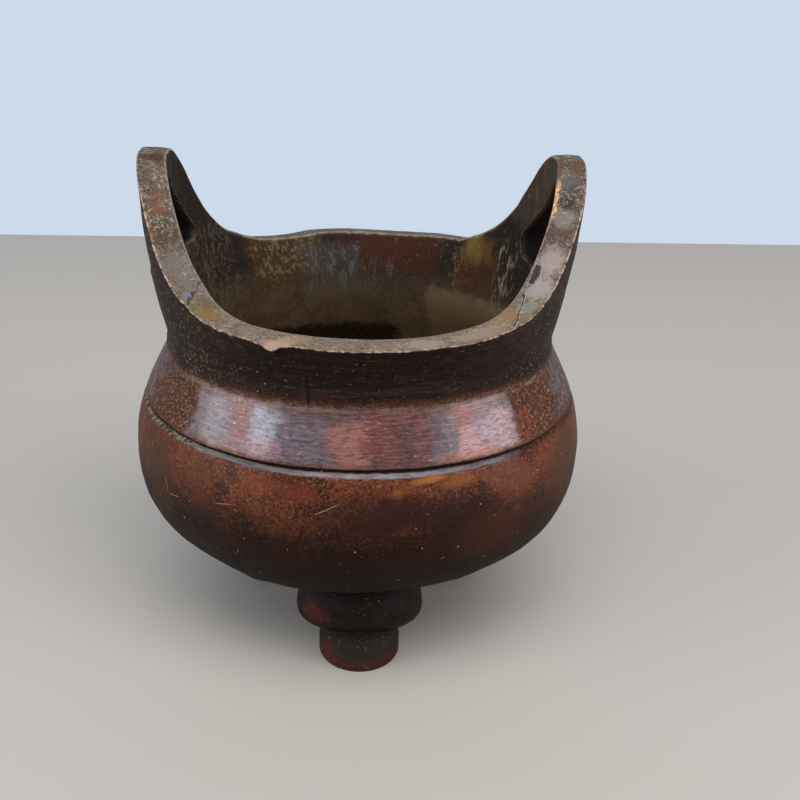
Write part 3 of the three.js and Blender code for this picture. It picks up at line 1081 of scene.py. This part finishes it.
class Finish:
    """A metal's finish as layers over each other: colour, roughness, bare metal, gloss coat and height."""

    def __init__(self, name, color, roughness, metal, coat):
        self.material = bpy.data.materials.new(name)
        self.material.use_nodes = True
        self.tree = self.material.node_tree
        self.shader = self.tree.nodes["Principled BSDF"]
        self.place = add(self.tree, "ShaderNodeTexCoord", output="Object")
        quarter = 90 * degree
        upright = mapped(self.place, Rotation=(0, quarter, 0), Scale=(10, 10, 10))
        self.z = gradient(upright, "LINEAR") * 0.1
        self.turn = (gradient(mapped(self.place, Rotation=(0, 0, quarter)), "RADIAL") - 0.5) * 360
        self.wobble = noisy(self.place, 2.2)
        self.drift = noisy(self.place, 4.5, 5.0, 0.7)
        self.frayed = noisy(self.place, 1.1)
        self.fine = noisy(self.place, 0.4, 3.0)
        self.color = color
        self.roughness = roughness
        self.metal = metal
        self.coat = coat
        self.height = 0.0

    def mask(self, key):
        return add(self.tree, "ShaderNodeAttribute", {"attribute_name": key}, output="Fac")

    def mottle(self, size, seed, low, high, place=None):
        """Patches of this size in millimetres, or of these sizes along x, y and z."""
        sizes = size if isinstance(size, tuple) else (size,) * 3
        scale = [1 / (step * mm) for step in sizes]
        shift = (seed * 3.7, seed * 5.1, seed * 1.3)
        inputs = {"place": place or self.place, "scale": scale, "shift": shift, "low": low, "high": high}
        return use(self.tree, mottling, **inputs)

    def mottled(self, where, *rows):
        """Lays mottled layers within where, each a size, seed, low, high, strength, colour and any height."""
        for size, seed, low, high, strength, color, *height in rows:
            share = self.mottle(size, seed, low, high) * where * strength
            self.lay(share, color, height=height[0] if height else None)

    def spot(self, centre, facing, spread, ragged, soft, wobble):
        inputs = {"centre": centre, "facing": facing, "wobble": wobble * ragged, "soft": soft}
        spread = [2 * size * mm for size in spread]
        return use(self.tree, stain, place=self.place, twice_spread=spread, **inputs)

    def stain(self, turn, height, spread, side=0.0, tilt=0.0, ragged=0.9, soft=0.25, wobble=None):
        centre, angle = on_wall(turn, height, side)
        return self.spot(centre, (0, -tilt * degree, angle), spread, ragged, soft, wobble or self.wobble)

    def panel(self, turns, heights, turn_soft=2.0, height_soft=0.8):
        return use(
            self.tree,
            panel,
            turn=self.turn,
            height=self.z,
            turn_wobble=self.drift * 7,
            height_wobble=self.wobble * 3,
            turn_low=float(turns[0]),
            turn_high=float(turns[1]),
            height_low=heights[0] * mm,
            height_high=heights[1] * mm,
            turn_soft=turn_soft,
            height_soft=height_soft * mm,
        )

    def specks(self, spacing, share, size):
        inputs = {"spacing": (spacing * mm,) * 3, "wobble": self.fine, "share": share, "size": size}
        return use(self.tree, specks, place=self.place, **inputs)

    def scratches(self, lean, length, width=0.09, share=0.08):
        spacing = (length * mm, 12 * width * mm, 12 * width * mm)
        return use(self.tree, scratches, place=self.place, lean=lean, spacing=spacing, share=share)

    def lay(self, share, color=None, roughness=None, metal=None, coat=None, height=None):
        """Lays a layer over what is there, where share says. Height is in millimetres and adds up."""
        if color is not None:
            self.color = blend(share, self.color, color)
        for key, value in (("roughness", roughness), ("metal", metal), ("coat", coat)):
            if value is not None:
                below = getattr(self, key)
                setattr(self, key, share * (value - below) + below)
        if height is not None:
            self.height = share * (height * mm) + self.height

    def done(self):
        bump = add(self.tree, "ShaderNodeBump", Strength=1.0, Distance=1.0, Height=self.height)
        for key, value in (
            ("Specular IOR Level", 0.11),
            ("Coat Roughness", 0.22),
            ("Base Color", self.color),
            ("Roughness", self.roughness),
            ("Metallic", self.metal),
            ("Coat Weight", self.coat),
            ("Normal", bump),
        ):
            plug(self.tree, value, self.shader.inputs[key])
        return self.material


def on_wall(turn, height, side):
    """A place on the wall and the angle of its turn, from degrees and millimetres. Without a height it
    lies on the rim, and side runs from 0 at the rim's outer edge to 1 at its inner edge."""
    angle = turn * degree
    if height is None:
        up = wall_top(angle)
        radius = wall_radius(angle, up, side)
    else:
        up = height * mm
        spot = Place(np.array([(math.sin(angle) * mm, -math.cos(angle) * mm, up)]))
        radius = mix(spot.outer[0], spot.inner[0], side)
    return (radius * math.sin(angle), -radius * math.cos(angle), up), angle


def lay_belly(finish):
    """Warm brown, mottled, matter and paler towards the sides, and painted nearly black below as shade."""
    finish.mottled(
        1.0,
        (12, 1, 0.42, 0.62, 1.0, (68, 33, 23)),
        (6, 2, 0.5, 0.66, 0.75, (40, 20, 16)),
        ((3.2, 3.2, 4), 3, 0.52, 0.68, 0.5, (118, 64, 34)),
        (1.2, 4, 0.48, 0.66, 0.65, (38, 19, 14)),
        (0.5, 5, 0.5, 0.62, 0.6, (142, 84, 50)),
        (0.4, 6, 0.5, 0.61, 0.7, (24, 13, 10), -0.01),
    )
    sides = ramp(finish.turn.math("ABSOLUTE"), 40, 62)
    finish.lay(sides * 0.55, (88, 53, 35), roughness=0.6, coat=0.0)
    slanting = mapped(finish.place, Rotation=(0.5, 0.6, 0.4))
    grain = finish.mottle((1.6, 0.35, 0.35), 8, 0.5, 0.66, place=slanting)
    finish.lay(grain * sides * 0.75, (36, 20, 13))
    # Painted shade: the belly darkens towards the bottom, to nearly black.
    height = finish.z + finish.wobble * (7 * mm)
    finish.lay(ramp(height, 46 * mm, 34 * mm) * 0.9, (19, 9, 6), roughness=0.6, coat=0.0)
    finish.lay(ramp(height, 34 * mm, 24 * mm) * 0.9, (8, 5, 5), roughness=0.7)
    for turn, z, spread, tilt, color, strength in (
        (15, 48.0, (3.0, 3, 0.55), 4, (150, 92, 44), 0.8),
        (7.6, 45.9, (0.9, 2, 0.7), 0, (146, 90, 44), 0.8),
        (22, 47.2, (3.2, 3, 1.2), 0, (128, 74, 38), 0.6),
        (25, 39, (8, 8, 5), 0, (28, 15, 13), 0.8),
        (2, 42, (8, 6, 4.2), 0, (40, 19, 15), 0.75),
        (13, 43, (8, 6, 3), 0, (40, 20, 16), 0.7),
        (-14, 45.5, (3, 3, 1.4), 0, (104, 46, 30), 0.6),
        (-24, 46, (5, 4, 1.8), 0, (108, 54, 32), 0.5),
        (-40, 44, (3, 4, 5), 20, (88, 48, 28), 0.5),
        (-56, 40, (4, 5, 7), 0, (62, 39, 25), 0.6),
        (38, 45, (5, 5, 3), -20, (100, 60, 42), 0.5),
        (60, 40, (6, 8, 6), 0, (70, 46, 31), 0.5),
        # painted reflection: the next reddish patch, low on the right, stands in for a reflection
        (32, 36, (8, 8, 4.5), 0, (70, 34, 22), 0.45),
    ):
        patch = finish.stain(turn, z, spread, tilt=tilt, ragged=1.3, soft=0.5)
        finish.lay(patch * strength, color)
    for turn, z, tilt, length in (
        (-8.2, 43.2, 27, 2.6),
        (-53, 39.6, -80, 1.6),
        (-50, 38.2, 10, 1.6),
        (-33, 41, 12, 1.8),
    ):
        line = finish.stain(turn, z, (length, 0.9, 0.07), tilt=tilt, ragged=1.2, wobble=finish.fine)
        finish.lay(line * 0.6, (180, 146, 124), height=-0.03)


def lay_shoulder(finish):
    """Polished by handling between the ears, with level brush lines and patches of colour: patina, and
    painted reflections of the windows on the polished band.
    """
    whole = finish.panel(all_round, (50.2, 59.9), height_soft=0.5)
    polished = finish.panel((-48.2, 41.5), (50.4, 59.2), turn_soft=1.4, height_soft=0.7)
    finish.lay(whole, (74, 42, 31), roughness=0.55, coat=0.0)
    finish.mottled(
        whole,
        (1.0, 31, 0.46, 0.66, 0.7, (46, 28, 22)),
        (0.45, 32, 0.53, 0.64, 0.75, (158, 118, 84), 0.01),
        (0.4, 38, 0.52, 0.64, 0.7, (36, 22, 18)),
    )
    finish.lay(polished, (88, 62, 62), roughness=0.36, metal=0.36, coat=0.25)
    # Panels on the polished band: the pale bluish-grey and pinkish-white ones are painted reflections of the
    # windows, the red-brown and orange ones are patina.
    for turns, heights, color, strength in (
        ((-49, -36), (50.4, 58), (112, 104, 108), 0.8),
        ((-39, -35), (51, 55), (70, 66, 78), 0.6),
        ((-34, -29.5), (52.5, 59), (108, 56, 46), 0.75),
        ((-28.5, -21), (52, 58), (132, 136, 148), 0.85),
        ((-30, -18), (50.2, 54), (132, 104, 106), 0.7),
        ((-20, -8), (50.5, 57.5), (100, 88, 96), 0.9),
        ((-8, 1), (50.4, 57), (146, 96, 82), 0.85),
        ((-1, 7), (52, 59), (108, 56, 52), 0.85),
        ((6, 15), (50.4, 59), (104, 54, 48), 0.8),
        ((9, 13), (50.4, 57), (70, 52, 58), 0.7),
        ((15.5, 23), (50.2, 58), (88, 82, 88), 0.85),
        ((22.5, 28.5), (55.2, 59), (104, 56, 50), 0.8),
        ((24, 30), (50.8, 55.6), (140, 104, 104), 0.7),
        ((29, 35), (51.5, 56.5), (116, 100, 108), 0.8),
        ((29, 41), (56, 59), (88, 78, 78), 0.7),
        ((34, 41), (50.4, 56.8), (136, 112, 116), 0.9),
        ((18, 34), (50.2, 51.4), (136, 84, 54), 0.8),
        ((-46, -30), (50.2, 51.2), (128, 78, 54), 0.7),
    ):
        area = finish.panel(turns, heights, turn_soft=2.0, height_soft=0.9)
        finish.lay(area * polished * strength, color)
    beside = finish.panel((42.5, 46), (50.4, 56))
    finish.mottled(beside, (1.4, 40, 0.4, 0.58, 0.6, (124, 62, 34)))
    # Painted reflection: bluish-grey on both sides of the shoulder, standing in for grazing reflections.
    for turns in ((64, 100), (-100, -70)):
        painted_sheen = finish.panel(turns, (51, 62), 5, 1.5)
        finish.mottled(painted_sheen, (1.6, 37, 0.4, 0.6, 0.5, (104, 110, 116)))
    finish.mottled(
        polished,
        ((3.6, 3.6, 0.3), 33, 0.44, 0.62, 0.2, (160, 136, 132), 0.005),
        ((3, 3, 0.26), 34, 0.5, 0.62, 0.35, (54, 34, 34), -0.008),
        ((1.3, 1.3, 0.5), 39, 0.5, 0.62, 0.45, (48, 34, 34)),
        ((1.2, 1.2, 0.4), 35, 0.6, 0.72, 0.5, (180, 156, 150)),
    )
    # Painted highlight: a pale mottled line along the crease at the top of the shoulder.
    crease_highlight = finish.panel((-60, 60), (58.6, 59.6), height_soft=0.4)
    finish.mottled(crease_highlight, ((4, 4, 0.6), 36, 0.42, 0.62, 0.65, (112, 100, 84)))


def lay_neck(finish):
    """Dark and dull, with fine level dashes and pale flecks."""
    outside = 1 - finish.mask("inside")
    height = finish.z + finish.wobble * (1.6 * mm)
    neck = ramp(height, 59.0 * mm, 61.2 * mm) * outside
    finish.lay(neck, (25, 15, 13), roughness=0.6, metal=0.0, coat=0.0)
    finish.mottled(
        neck,
        ((7, 7, 0.9), 41, 0.48, 0.64, 0.7, (52, 26, 19)),
        ((2.0, 2.0, 0.28), 42, 0.62, 0.71, 0.7, (104, 82, 66), 0.02),
    )
    front = ramp(finish.turn.math("ABSOLUTE"), 52, 36)
    finish.lay(neck * (1 - front) * 0.6, (30, 20, 16))
    finish.mottled(neck * (1 - front * 0.8), (0.55, 43, 0.6, 0.68, 0.75, (138, 120, 98), 0.02))
    patches = finish.panel((-78, -30), (55, 72), 4, 3) * finish.mottle(3, 45, 0.44, 0.58)
    finish.mottled(patches * outside, (0.5, 44, 0.56, 0.65, 0.7, (124, 108, 84)))
    crack = finish.stain(-14.4, 62.5, (0.28, 3, 3.6), tilt=4, ragged=1.2)
    finish.lay(crack * outside * 0.9, (10, 8, 8), height=-0.08)


def lay_groove(finish):
    """Dark cut over a pale bevel that is dirty towards the sides. The cut's dark is painted shade, and the
    bevel's pale bluish-grey between the ears is a painted highlight.
    """
    outside = 1 - finish.mask("inside")
    low, high = groove_z / mm - 0.32, groove_z / mm + 0.36
    cut = finish.panel(all_round, (low, high), height_soft=0.1)
    bevel = finish.panel(all_round, (low - 0.62, low - 0.05), height_soft=0.15) * outside
    # Painted highlight: the bevel below the cut is pale bluish-grey between the ears, and glossier there.
    gloss_and_painted_highlight = finish.panel((-46, 36), (40, 60), turn_soft=3)
    finish.lay(bevel * gloss_and_painted_highlight * 0.9, (112, 112, 118), roughness=0.4, metal=0.3)
    finish.mottled(bevel * gloss_and_painted_highlight, ((3, 3, 0.5), 53, 0.42, 0.62, 0.6, (70, 60, 58)))
    dirt = finish.mottle(0.7, 51, 0.46, 0.56)
    left = ramp(finish.turn, -30, -42)
    finish.lay(bevel * left * dirt * 0.8, (132, 126, 102), roughness=0.8)
    finish.lay(bevel * (1 - gloss_and_painted_highlight) * (1 - dirt) * 0.7, (34, 26, 20), roughness=0.8)
    # Painted shade: the cut is painted nearly black.
    finish.lay(cut * outside * 0.96, (12, 9, 9), roughness=0.8, metal=0.0, coat=0.0)
    near = finish.panel((-72, -40), (low - 0.8, high + 0.1), 3, 0.3)
    finish.mottled(near * outside, (0.45, 52, 0.57, 0.64, 0.7, (142, 134, 112)))


def lay_inside(finish):
    """Dull olive brown, with streaks running down, ochre and tan patches and a dark stain, painted paler with
    depth to make up for the light falling off.
    """
    inside = finish.mask("inside")
    finish.lay(inside, (40, 30, 24), roughness=0.75, metal=0.0, coat=0.0)
    # Painted light: the inside grows paler the deeper it goes, and the mottling below blends to paler colours
    # the same way.
    deep = ramp(finish.z, 68 * mm, 50 * mm)
    finish.lay(inside * deep * 0.95, (128, 106, 80))
    for size, seed, low, high, strength, above, below in (
        (6, 61, 0.42, 0.62, 0.45, (34, 25, 19), (88, 68, 48)),
        ((2, 2, 3.4), 62, 0.52, 0.66, 0.5, (66, 52, 36), (132, 108, 76)),
        (0.8, 66, 0.46, 0.64, 0.4, (26, 20, 16), (66, 52, 38)),
    ):
        finish.mottled(inside, (size, seed, low, high, strength, blend(deep, above, below)))
    streak = finish.mottle((0.8, 0.8, 4.5), 63, 0.5, 0.62)
    flecks = finish.mottle((0.9, 0.9, 1.3), 64, 0.5, 0.6)
    for turns, heights, color, strength, grain in (
        ((150, 190), (64, 73), (64, 32, 22), 0.75, 1.0),
        ((-190, -174), (64, 73), (50, 24, 18), 0.75, 1.0),
        ((-165, -136), (62, 72), (70, 48, 26), 0.6, 1.0),
        ((-163, -138), (63, 71.5), (122, 104, 74), 0.55, flecks),
        ((-190, -158), (59, 69.5), (72, 72, 70), 0.35, 1.0),
        ((-190, -158), (59, 69.5), (106, 104, 98), 0.4, streak),
        ((162, 190), (59, 66), (84, 82, 76), 0.5, streak),
        ((131, 138), (68.5, 75), (116, 94, 44), 0.85, 1.0),
        ((125, 132), (69, 74), (100, 66, 36), 0.7, 1.0),
        ((130, 140), (63, 67.5), (132, 68, 36), 0.6, flecks),
        ((120, 142), (62, 70), (82, 50, 32), 0.5, 1.0),
        ((104, 152), (42, 61), (156, 126, 94), 0.5, 1.0),
        ((112, 121), (58, 75), (146, 134, 108), 0.7, streak),
        ((139, 142), (60, 72), (150, 128, 88), 0.5, streak),
        ((-128, -100), (62, 78), (88, 80, 66), 0.45, flecks),
        ((80, 118), (80, 96), (74, 64, 50), 0.5, 1.0),
        ((96, 112), (82, 94), (110, 72, 46), 0.5, streak),
        ((-124, -100), (60, 78), (96, 88, 72), 0.3, streak),
        ((-190, -140), (40, 50), (26, 18, 11), 0.9, 1.0),
        ((166, 190), (40, 50), (26, 18, 11), 0.9, 1.0),
    ):
        area = finish.panel(turns, heights, turn_soft=2.5, height_soft=1.4)
        finish.lay(area * inside * strength * grain, color)
    finish.mottled(inside, (0.6, 65, 0.62, 0.7, 0.6, (128, 110, 78)))


def lay_rim(finish):
    """Rubbed pale on its face, bare along its edges."""
    rim = finish.mask("rim")
    ears = ramp(finish.z, 72.5 * mm, 80 * mm)
    finish.lay(rim, (124, 104, 84), roughness=0.6, metal=0.1, coat=0.0)
    finish.lay(rim * ears * 0.85, (76, 66, 60))
    finish.mottled(
        rim,
        (3, 71, 0.46, 0.62, 0.5, (92, 80, 60)),
        (1.4, 72, 0.5, 0.66, 0.6, (142, 120, 100)),
        (0.45, 73, 0.5, 0.62, 0.7, (44, 36, 31), -0.01),
        (0.35, 74, 0.56, 0.66, 0.6, (180, 166, 152), 0.01),
    )
    for turn, side, spread, color, strength in (
        (-84, 0.75, (1.2, 5, 5), (74, 34, 28), 0.7),
        (-72, 0.5, (2.2, 1.4, 3), (112, 66, 42), 0.6),
        (-67, 0.5, (2.4, 2.4, 2.4), (72, 58, 42), 0.75),
        (-60, 0.5, (3, 3, 3), (116, 108, 104), 0.6),
        (-55, 0.6, (3, 2.4, 3), (104, 104, 98), 0.6),
        (-51.7, 0.3, (1.0, 0.8, 0.9), (116, 116, 140), 0.7),
        (-47, 0.5, (2.5, 2.5, 1.5), (98, 88, 60), 0.7),
        (-43, 0.45, (2.4, 1.6, 1.2), (130, 98, 52), 0.8),
        (-20, 0.15, (2.6, 1.8, 2), (178, 146, 130), 0.85),
        (-17, 0.5, (2.6, 2, 2), (150, 126, 92), 0.6),
        (14, 0.4, (3.2, 2, 2), (160, 142, 134), 0.6),
        (41, 0.7, (4, 1.8, 2), (140, 108, 66), 0.7),
        (30, 0.4, (6, 2, 2), (158, 132, 112), 0.6),
        (48.4, 0.4, (2, 1.6, 2), (128, 132, 120), 0.7),
        (55, 0.45, (2.4, 2.4, 4), (160, 148, 144), 0.8),
        (62, 0.5, (2.4, 2.4, 4), (157, 143, 138), 0.8),
        (67.8, 0.6, (1.0, 3, 1.2), (84, 64, 58), 0.7),
        (70.5, 0.5, (1.6, 2, 2.4), (120, 112, 102), 0.8),
        (73.5, 0.5, (1.4, 1.5, 1.8), (44, 42, 34), 0.8),
        (79, 0.6, (2, 2.2, 4), (96, 91, 88), 0.5),
        (84, 0.3, (2.4, 1.5, 4), (98, 64, 48), 0.6),
    ):
        area = finish.stain(turn, None, spread, side, ragged=1.4, soft=0.4, wobble=finish.frayed)
        finish.lay(area * rim * strength, color)
    for turns, color in (((100, 181), (58, 52, 46)), ((-181, -100), (58, 54, 50))):
        finish.lay(rim * finish.panel(turns, (60, 90)) * 0.6, color)
    cracks = finish.mottle(1.3, 75, 0.468, 0.5) * finish.mottle(1.3, 75, 0.532, 0.5)
    finish.mottled(rim * cracks, (3.5, 76, 0.5, 0.6, 0.7, (186, 176, 160), -0.03))

    frayed = finish.frayed * 1.3
    outer_wear = ramp(finish.mask("outer_edge") + frayed, 0.32, 0.08)
    inner_wear = ramp(finish.mask("inner_edge") + frayed, 0.5, 0.15)
    finish.lay(inner_wear * 0.65, (158, 142, 124), roughness=0.45, metal=0.3)
    finish.lay(outer_wear * 0.8, (184, 150, 134), roughness=0.4, metal=0.3)
    edge = ramp(finish.mask("inner_edge") + frayed * 1.5, 0.9, 0.4)
    gold = finish.stain(74, None, (3.2, 3, 4.2), side=0.95, ragged=0.9, wobble=finish.frayed) * edge
    finish.lay(gold * 0.9, (190, 144, 100), roughness=0.45, metal=0.3)
    finish.mottled(gold, (0.7, 77, 0.5, 0.6, 0.8, (236, 200, 150)))
    red = finish.stain(83, None, (3, 2, 5), side=0.95, ragged=1.2, wobble=finish.frayed)
    finish.lay(red * edge * 0.75, (108, 60, 46))


def lay_joints(finish):
    """Dark irregular seams of the ears. The right one has a pale lacy edge and a dark pocket beside it."""
    rim = finish.mask("rim")
    seam = finish.mask("seam") + finish.wobble * 0.35
    right = finish.panel((20, 75), (64, 96), 2, 1)
    left = finish.panel((-75, -20), (64, 96), 2, 1)
    lace = ramp(seam, 0.7, 0.35) * rim * right
    finish.mottled(lace, (0.8, 91, 0.44, 0.56, 0.7, (168, 156, 146), 0.03))
    finish.lay(ramp(seam, 0.26, 0.08) * rim * right * 0.9, (44, 32, 26), roughness=0.8, height=-0.1)
    finish.lay(ramp(seam, 0.12, 0.05) * rim * left * 0.5, (70, 58, 48), height=-0.03)
    look = {"side": pocket_across, "ragged": 2.6, "soft": 0.14, "wobble": finish.frayed}
    pocket = finish.stain(pocket_turn, None, (1.7, 0.75, 3.8), **look)
    ring = finish.stain(pocket_turn, None, (1.95, 0.95, 4.2), **look)
    finish.lay(ring * rim * 0.6, (172, 160, 152))
    finish.lay(pocket * rim * 0.95, (58, 50, 46), roughness=0.8)


def lay_marks(finish):
    """Pale specks and scratches all over the outside."""
    outside = 1 - finish.mask("inside")
    finish.lay(finish.specks(1.3, 0.22, 0.16) * outside * 0.75, (178, 156, 134), height=0.02)
    for lean, length in (((0.3, 0.5, 0.9), 5), ((0.9, -0.4, 0.2), 4), ((-0.5, 0.8, -0.7), 6)):
        finish.lay(finish.scratches(lean, length) * outside * 0.5, (168, 136, 116), height=-0.02)


def lay_holes(finish):
    """Black inside the ears' holes, partly dark patina and partly painted shade, with a pale line round their
    edges.
    """
    finish.lay(finish.mask("hole") * 0.97, (10, 8, 7), roughness=0.9, metal=0.0, coat=0.0)
    finish.mottled(finish.mask("hole_edge"), (1.0, 92, 0.4, 0.54, 0.55, (122, 108, 92)))


def cast_metal(name, *layers):
    """Cast copper alloy with these layers over each other."""
    finish = Finish(name, (98, 52, 34), 0.46, 0.1, 0.07)
    for lay in layers:
        lay(finish)
    finish.lay(finish.fine, height=0.03)
    finish.lay(finish.frayed, height=0.06)
    finish.roughness = finish.roughness + finish.fine * 0.25
    return finish.done()


def foot_metal():
    """Nearly black, with dull red low on the front and on the left."""
    finish = Finish("foot patina", (20, 14, 11), 0.62, 0.0, 0.0)
    finish.mottled(
        1.0,
        (3, 81, 0.42, 0.62, 0.5, (40, 22, 19)),
        (0.8, 82, 0.5, 0.66, 0.5, (16, 13, 13)),
    )
    low = finish.z + finish.wobble * (2 * mm)
    finish.lay(ramp(low, 6.4 * mm, 5.2 * mm) * 0.7, (36, 32, 28))
    front = ramp(finish.turn.math("ABSOLUTE"), 90, 60)
    finish.lay(ramp(low, 3.2 * mm, 1.2 * mm) * front * 0.6, (62, 26, 18))
    reach = foot_circle + 9 * mm
    for turn, z, spread in ((-16, 2.5, (4, 6, 2.4)), (-20, 11, (4, 6, 2.6))):
        angle = turn * degree
        centre = (reach * math.sin(angle), -reach * math.cos(angle), z * mm)
        red = finish.spot(centre, (0, 0, angle), spread, 1.2, 0.5, finish.wobble)
        finish.lay(red * 0.75, (74, 32, 23))
    finish.mottled(1.0, (0.45, 83, 0.62, 0.7, 0.6, (104, 92, 82), 0.02))
    finish.lay(finish.specks(1.2, 0.25, 0.16) * 0.7, (140, 128, 116), height=0.02)
    finish.lay(finish.scratches((0.4, 0.5, 0.8), 3) * 0.6, (130, 120, 112), height=-0.02)
    finish.lay(finish.fine, height=0.05)
    return finish.done()


# The belly's finish holds painted shade, painted highlights and painted reflections; the wall's and the ears'
# finishes hold painted light inside and painted shade in the ears' holes.
belly_finish = cast_metal("belly patina and painted light", lay_belly, lay_shoulder, lay_neck, lay_groove, lay_marks)
wall_layers = (lay_neck, lay_inside, lay_marks, lay_rim, lay_joints, lay_holes)
wall_finish = cast_metal("wall patina and painted light", *wall_layers)
ear_finish = cast_metal("ear patina and painted light", *wall_layers)
foot_finish = foot_metal()

# Pieces
bowl = make_bowl(belly_finish)
bowl.data.materials.clear()
for bowl_finish in (belly_finish, wall_finish):
    bowl.data.materials.append(bowl_finish)
pieces = {
    "bowl": bowl,
    "ear_left": make_ear("bronze_ear_left", -1, left_hole, ear_finish),
    "ear_right": make_ear("bronze_ear_right", 1, right_hole, ear_finish),
}
foot_shape = foot_tree()
for index, node in enumerate(("foot_front", "foot_rear_right", "foot_rear_left")):
    pieces[node] = make_foot("bronze_" + node, foot_shape, index, bowl, foot_finish)
for node, piece in pieces.items():
    weathered(piece.data)
    piece.data.shade_smooth()
    piece.data.set_sharp_from_angle(angle=50 * degree)
    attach(piece, "root")
    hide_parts(node)


# Stage: a pale table top that ends behind the object, in front of a pale wall
def sheet(name, half_width, near, far, color, glow=0.0):
    """A level or upright sheet between two edges, each given by its y and z."""
    finish = bpy.data.materials.new(name)
    finish.use_nodes = True
    shader = finish.node_tree.nodes["Principled BSDF"]
    shader.inputs["Roughness"].default_value = 0.8
    if glow:
        shader.inputs["Emission Color"].default_value = color
        shader.inputs["Emission Strength"].default_value = glow
        shader.inputs["Specular IOR Level"].default_value = 0
    shader.inputs["Base Color"].default_value = (0, 0, 0, 1) if glow else color
    corners = [(-half_width, *near), (half_width, *near), (half_width, *far), (-half_width, *far)]
    flat = bpy.data.objects.new(name, bpy.data.meshes.new(name))
    flat.data.from_pydata(corners, [], [(0, 1, 2, 3)])
    flat.data.materials.append(finish)
    bpy.context.collection.objects.link(flat)


wall_y = 1.6
sheet("table", 1.5, (-1.2, 0), (0.32, 0), srgb(184, 177, 168))
sheet("wall", 2.4, (wall_y, -1.2), (wall_y, 1.8), srgb(205, 218, 234), glow=1.0)

# Camera, at the photograph's viewing angle
camera_place = Vector((-3.677, -210.649, 131.553)) * mm
camera_pan = 3.238 * degree
camera_tilt = 22.189 * degree
camera_roll = 1.558 * degree
forward = Vector((
    math.sin(camera_pan) * math.cos(camera_tilt),
    math.cos(camera_pan) * math.cos(camera_tilt),
    -math.sin(camera_tilt),
))
level = Vector((math.cos(camera_pan), -math.sin(camera_pan), 0))
right = level * math.cos(camera_roll) + level.cross(forward) * math.sin(camera_roll)
above = right.cross(forward)
camera = bpy.data.objects.new("camera", bpy.data.cameras.new("camera"))
camera.data.sensor_width = 36
camera.data.lens = 49.5
camera.data.clip_start = 0.01
camera_turn = Matrix((right, above, -forward)).transposed().to_4x4()
camera.matrix_world = Matrix.Translation(camera_place) @ camera_turn
bpy.context.collection.objects.link(camera)
bpy.context.scene.camera = camera


# Light
def soft_box(name, bearing, climb, distance, width, height, strength, color=(1, 1, 1)):
    """An area light that faces the bowl. The bearing counts from the front, towards the right."""
    aim = Vector((0, 0, belly_z))
    way = Vector((
        math.sin(bearing * degree) * math.cos(climb * degree),
        -math.cos(bearing * degree) * math.cos(climb * degree),
        math.sin(climb * degree),
    ))
    lamp = bpy.data.lights.new(name, "AREA")
    lamp.shape = "RECTANGLE"
    lamp.size = width
    lamp.size_y = height
    lamp.energy = strength
    lamp.color = color
    box = bpy.data.objects.new(name, lamp)
    facing = way.to_track_quat("Z", "Y").to_matrix().to_4x4()
    box.matrix_world = Matrix.Translation(aim + way * distance) @ facing
    bpy.context.collection.objects.link(box)


world = bpy.data.worlds.new("studio")
world.use_nodes = True
sky = world.node_tree.nodes["Background"].inputs
sky["Color"].default_value = srgb(205, 214, 228)
sky["Strength"].default_value = 0.42
bpy.context.scene.world = world
soft_box("left window", -70, 18, 0.8, 0.5, 0.26, 3.2, (0.9, 0.95, 1))
soft_box("right window", 65, 17, 0.8, 0.5, 0.24, 3.2, (1, 0.93, 0.95))
soft_box("sky", 5, 58, 0.9, 0.8, 0.6, 6.5)
bpy.context.scene.view_settings.view_transform = "Standard"
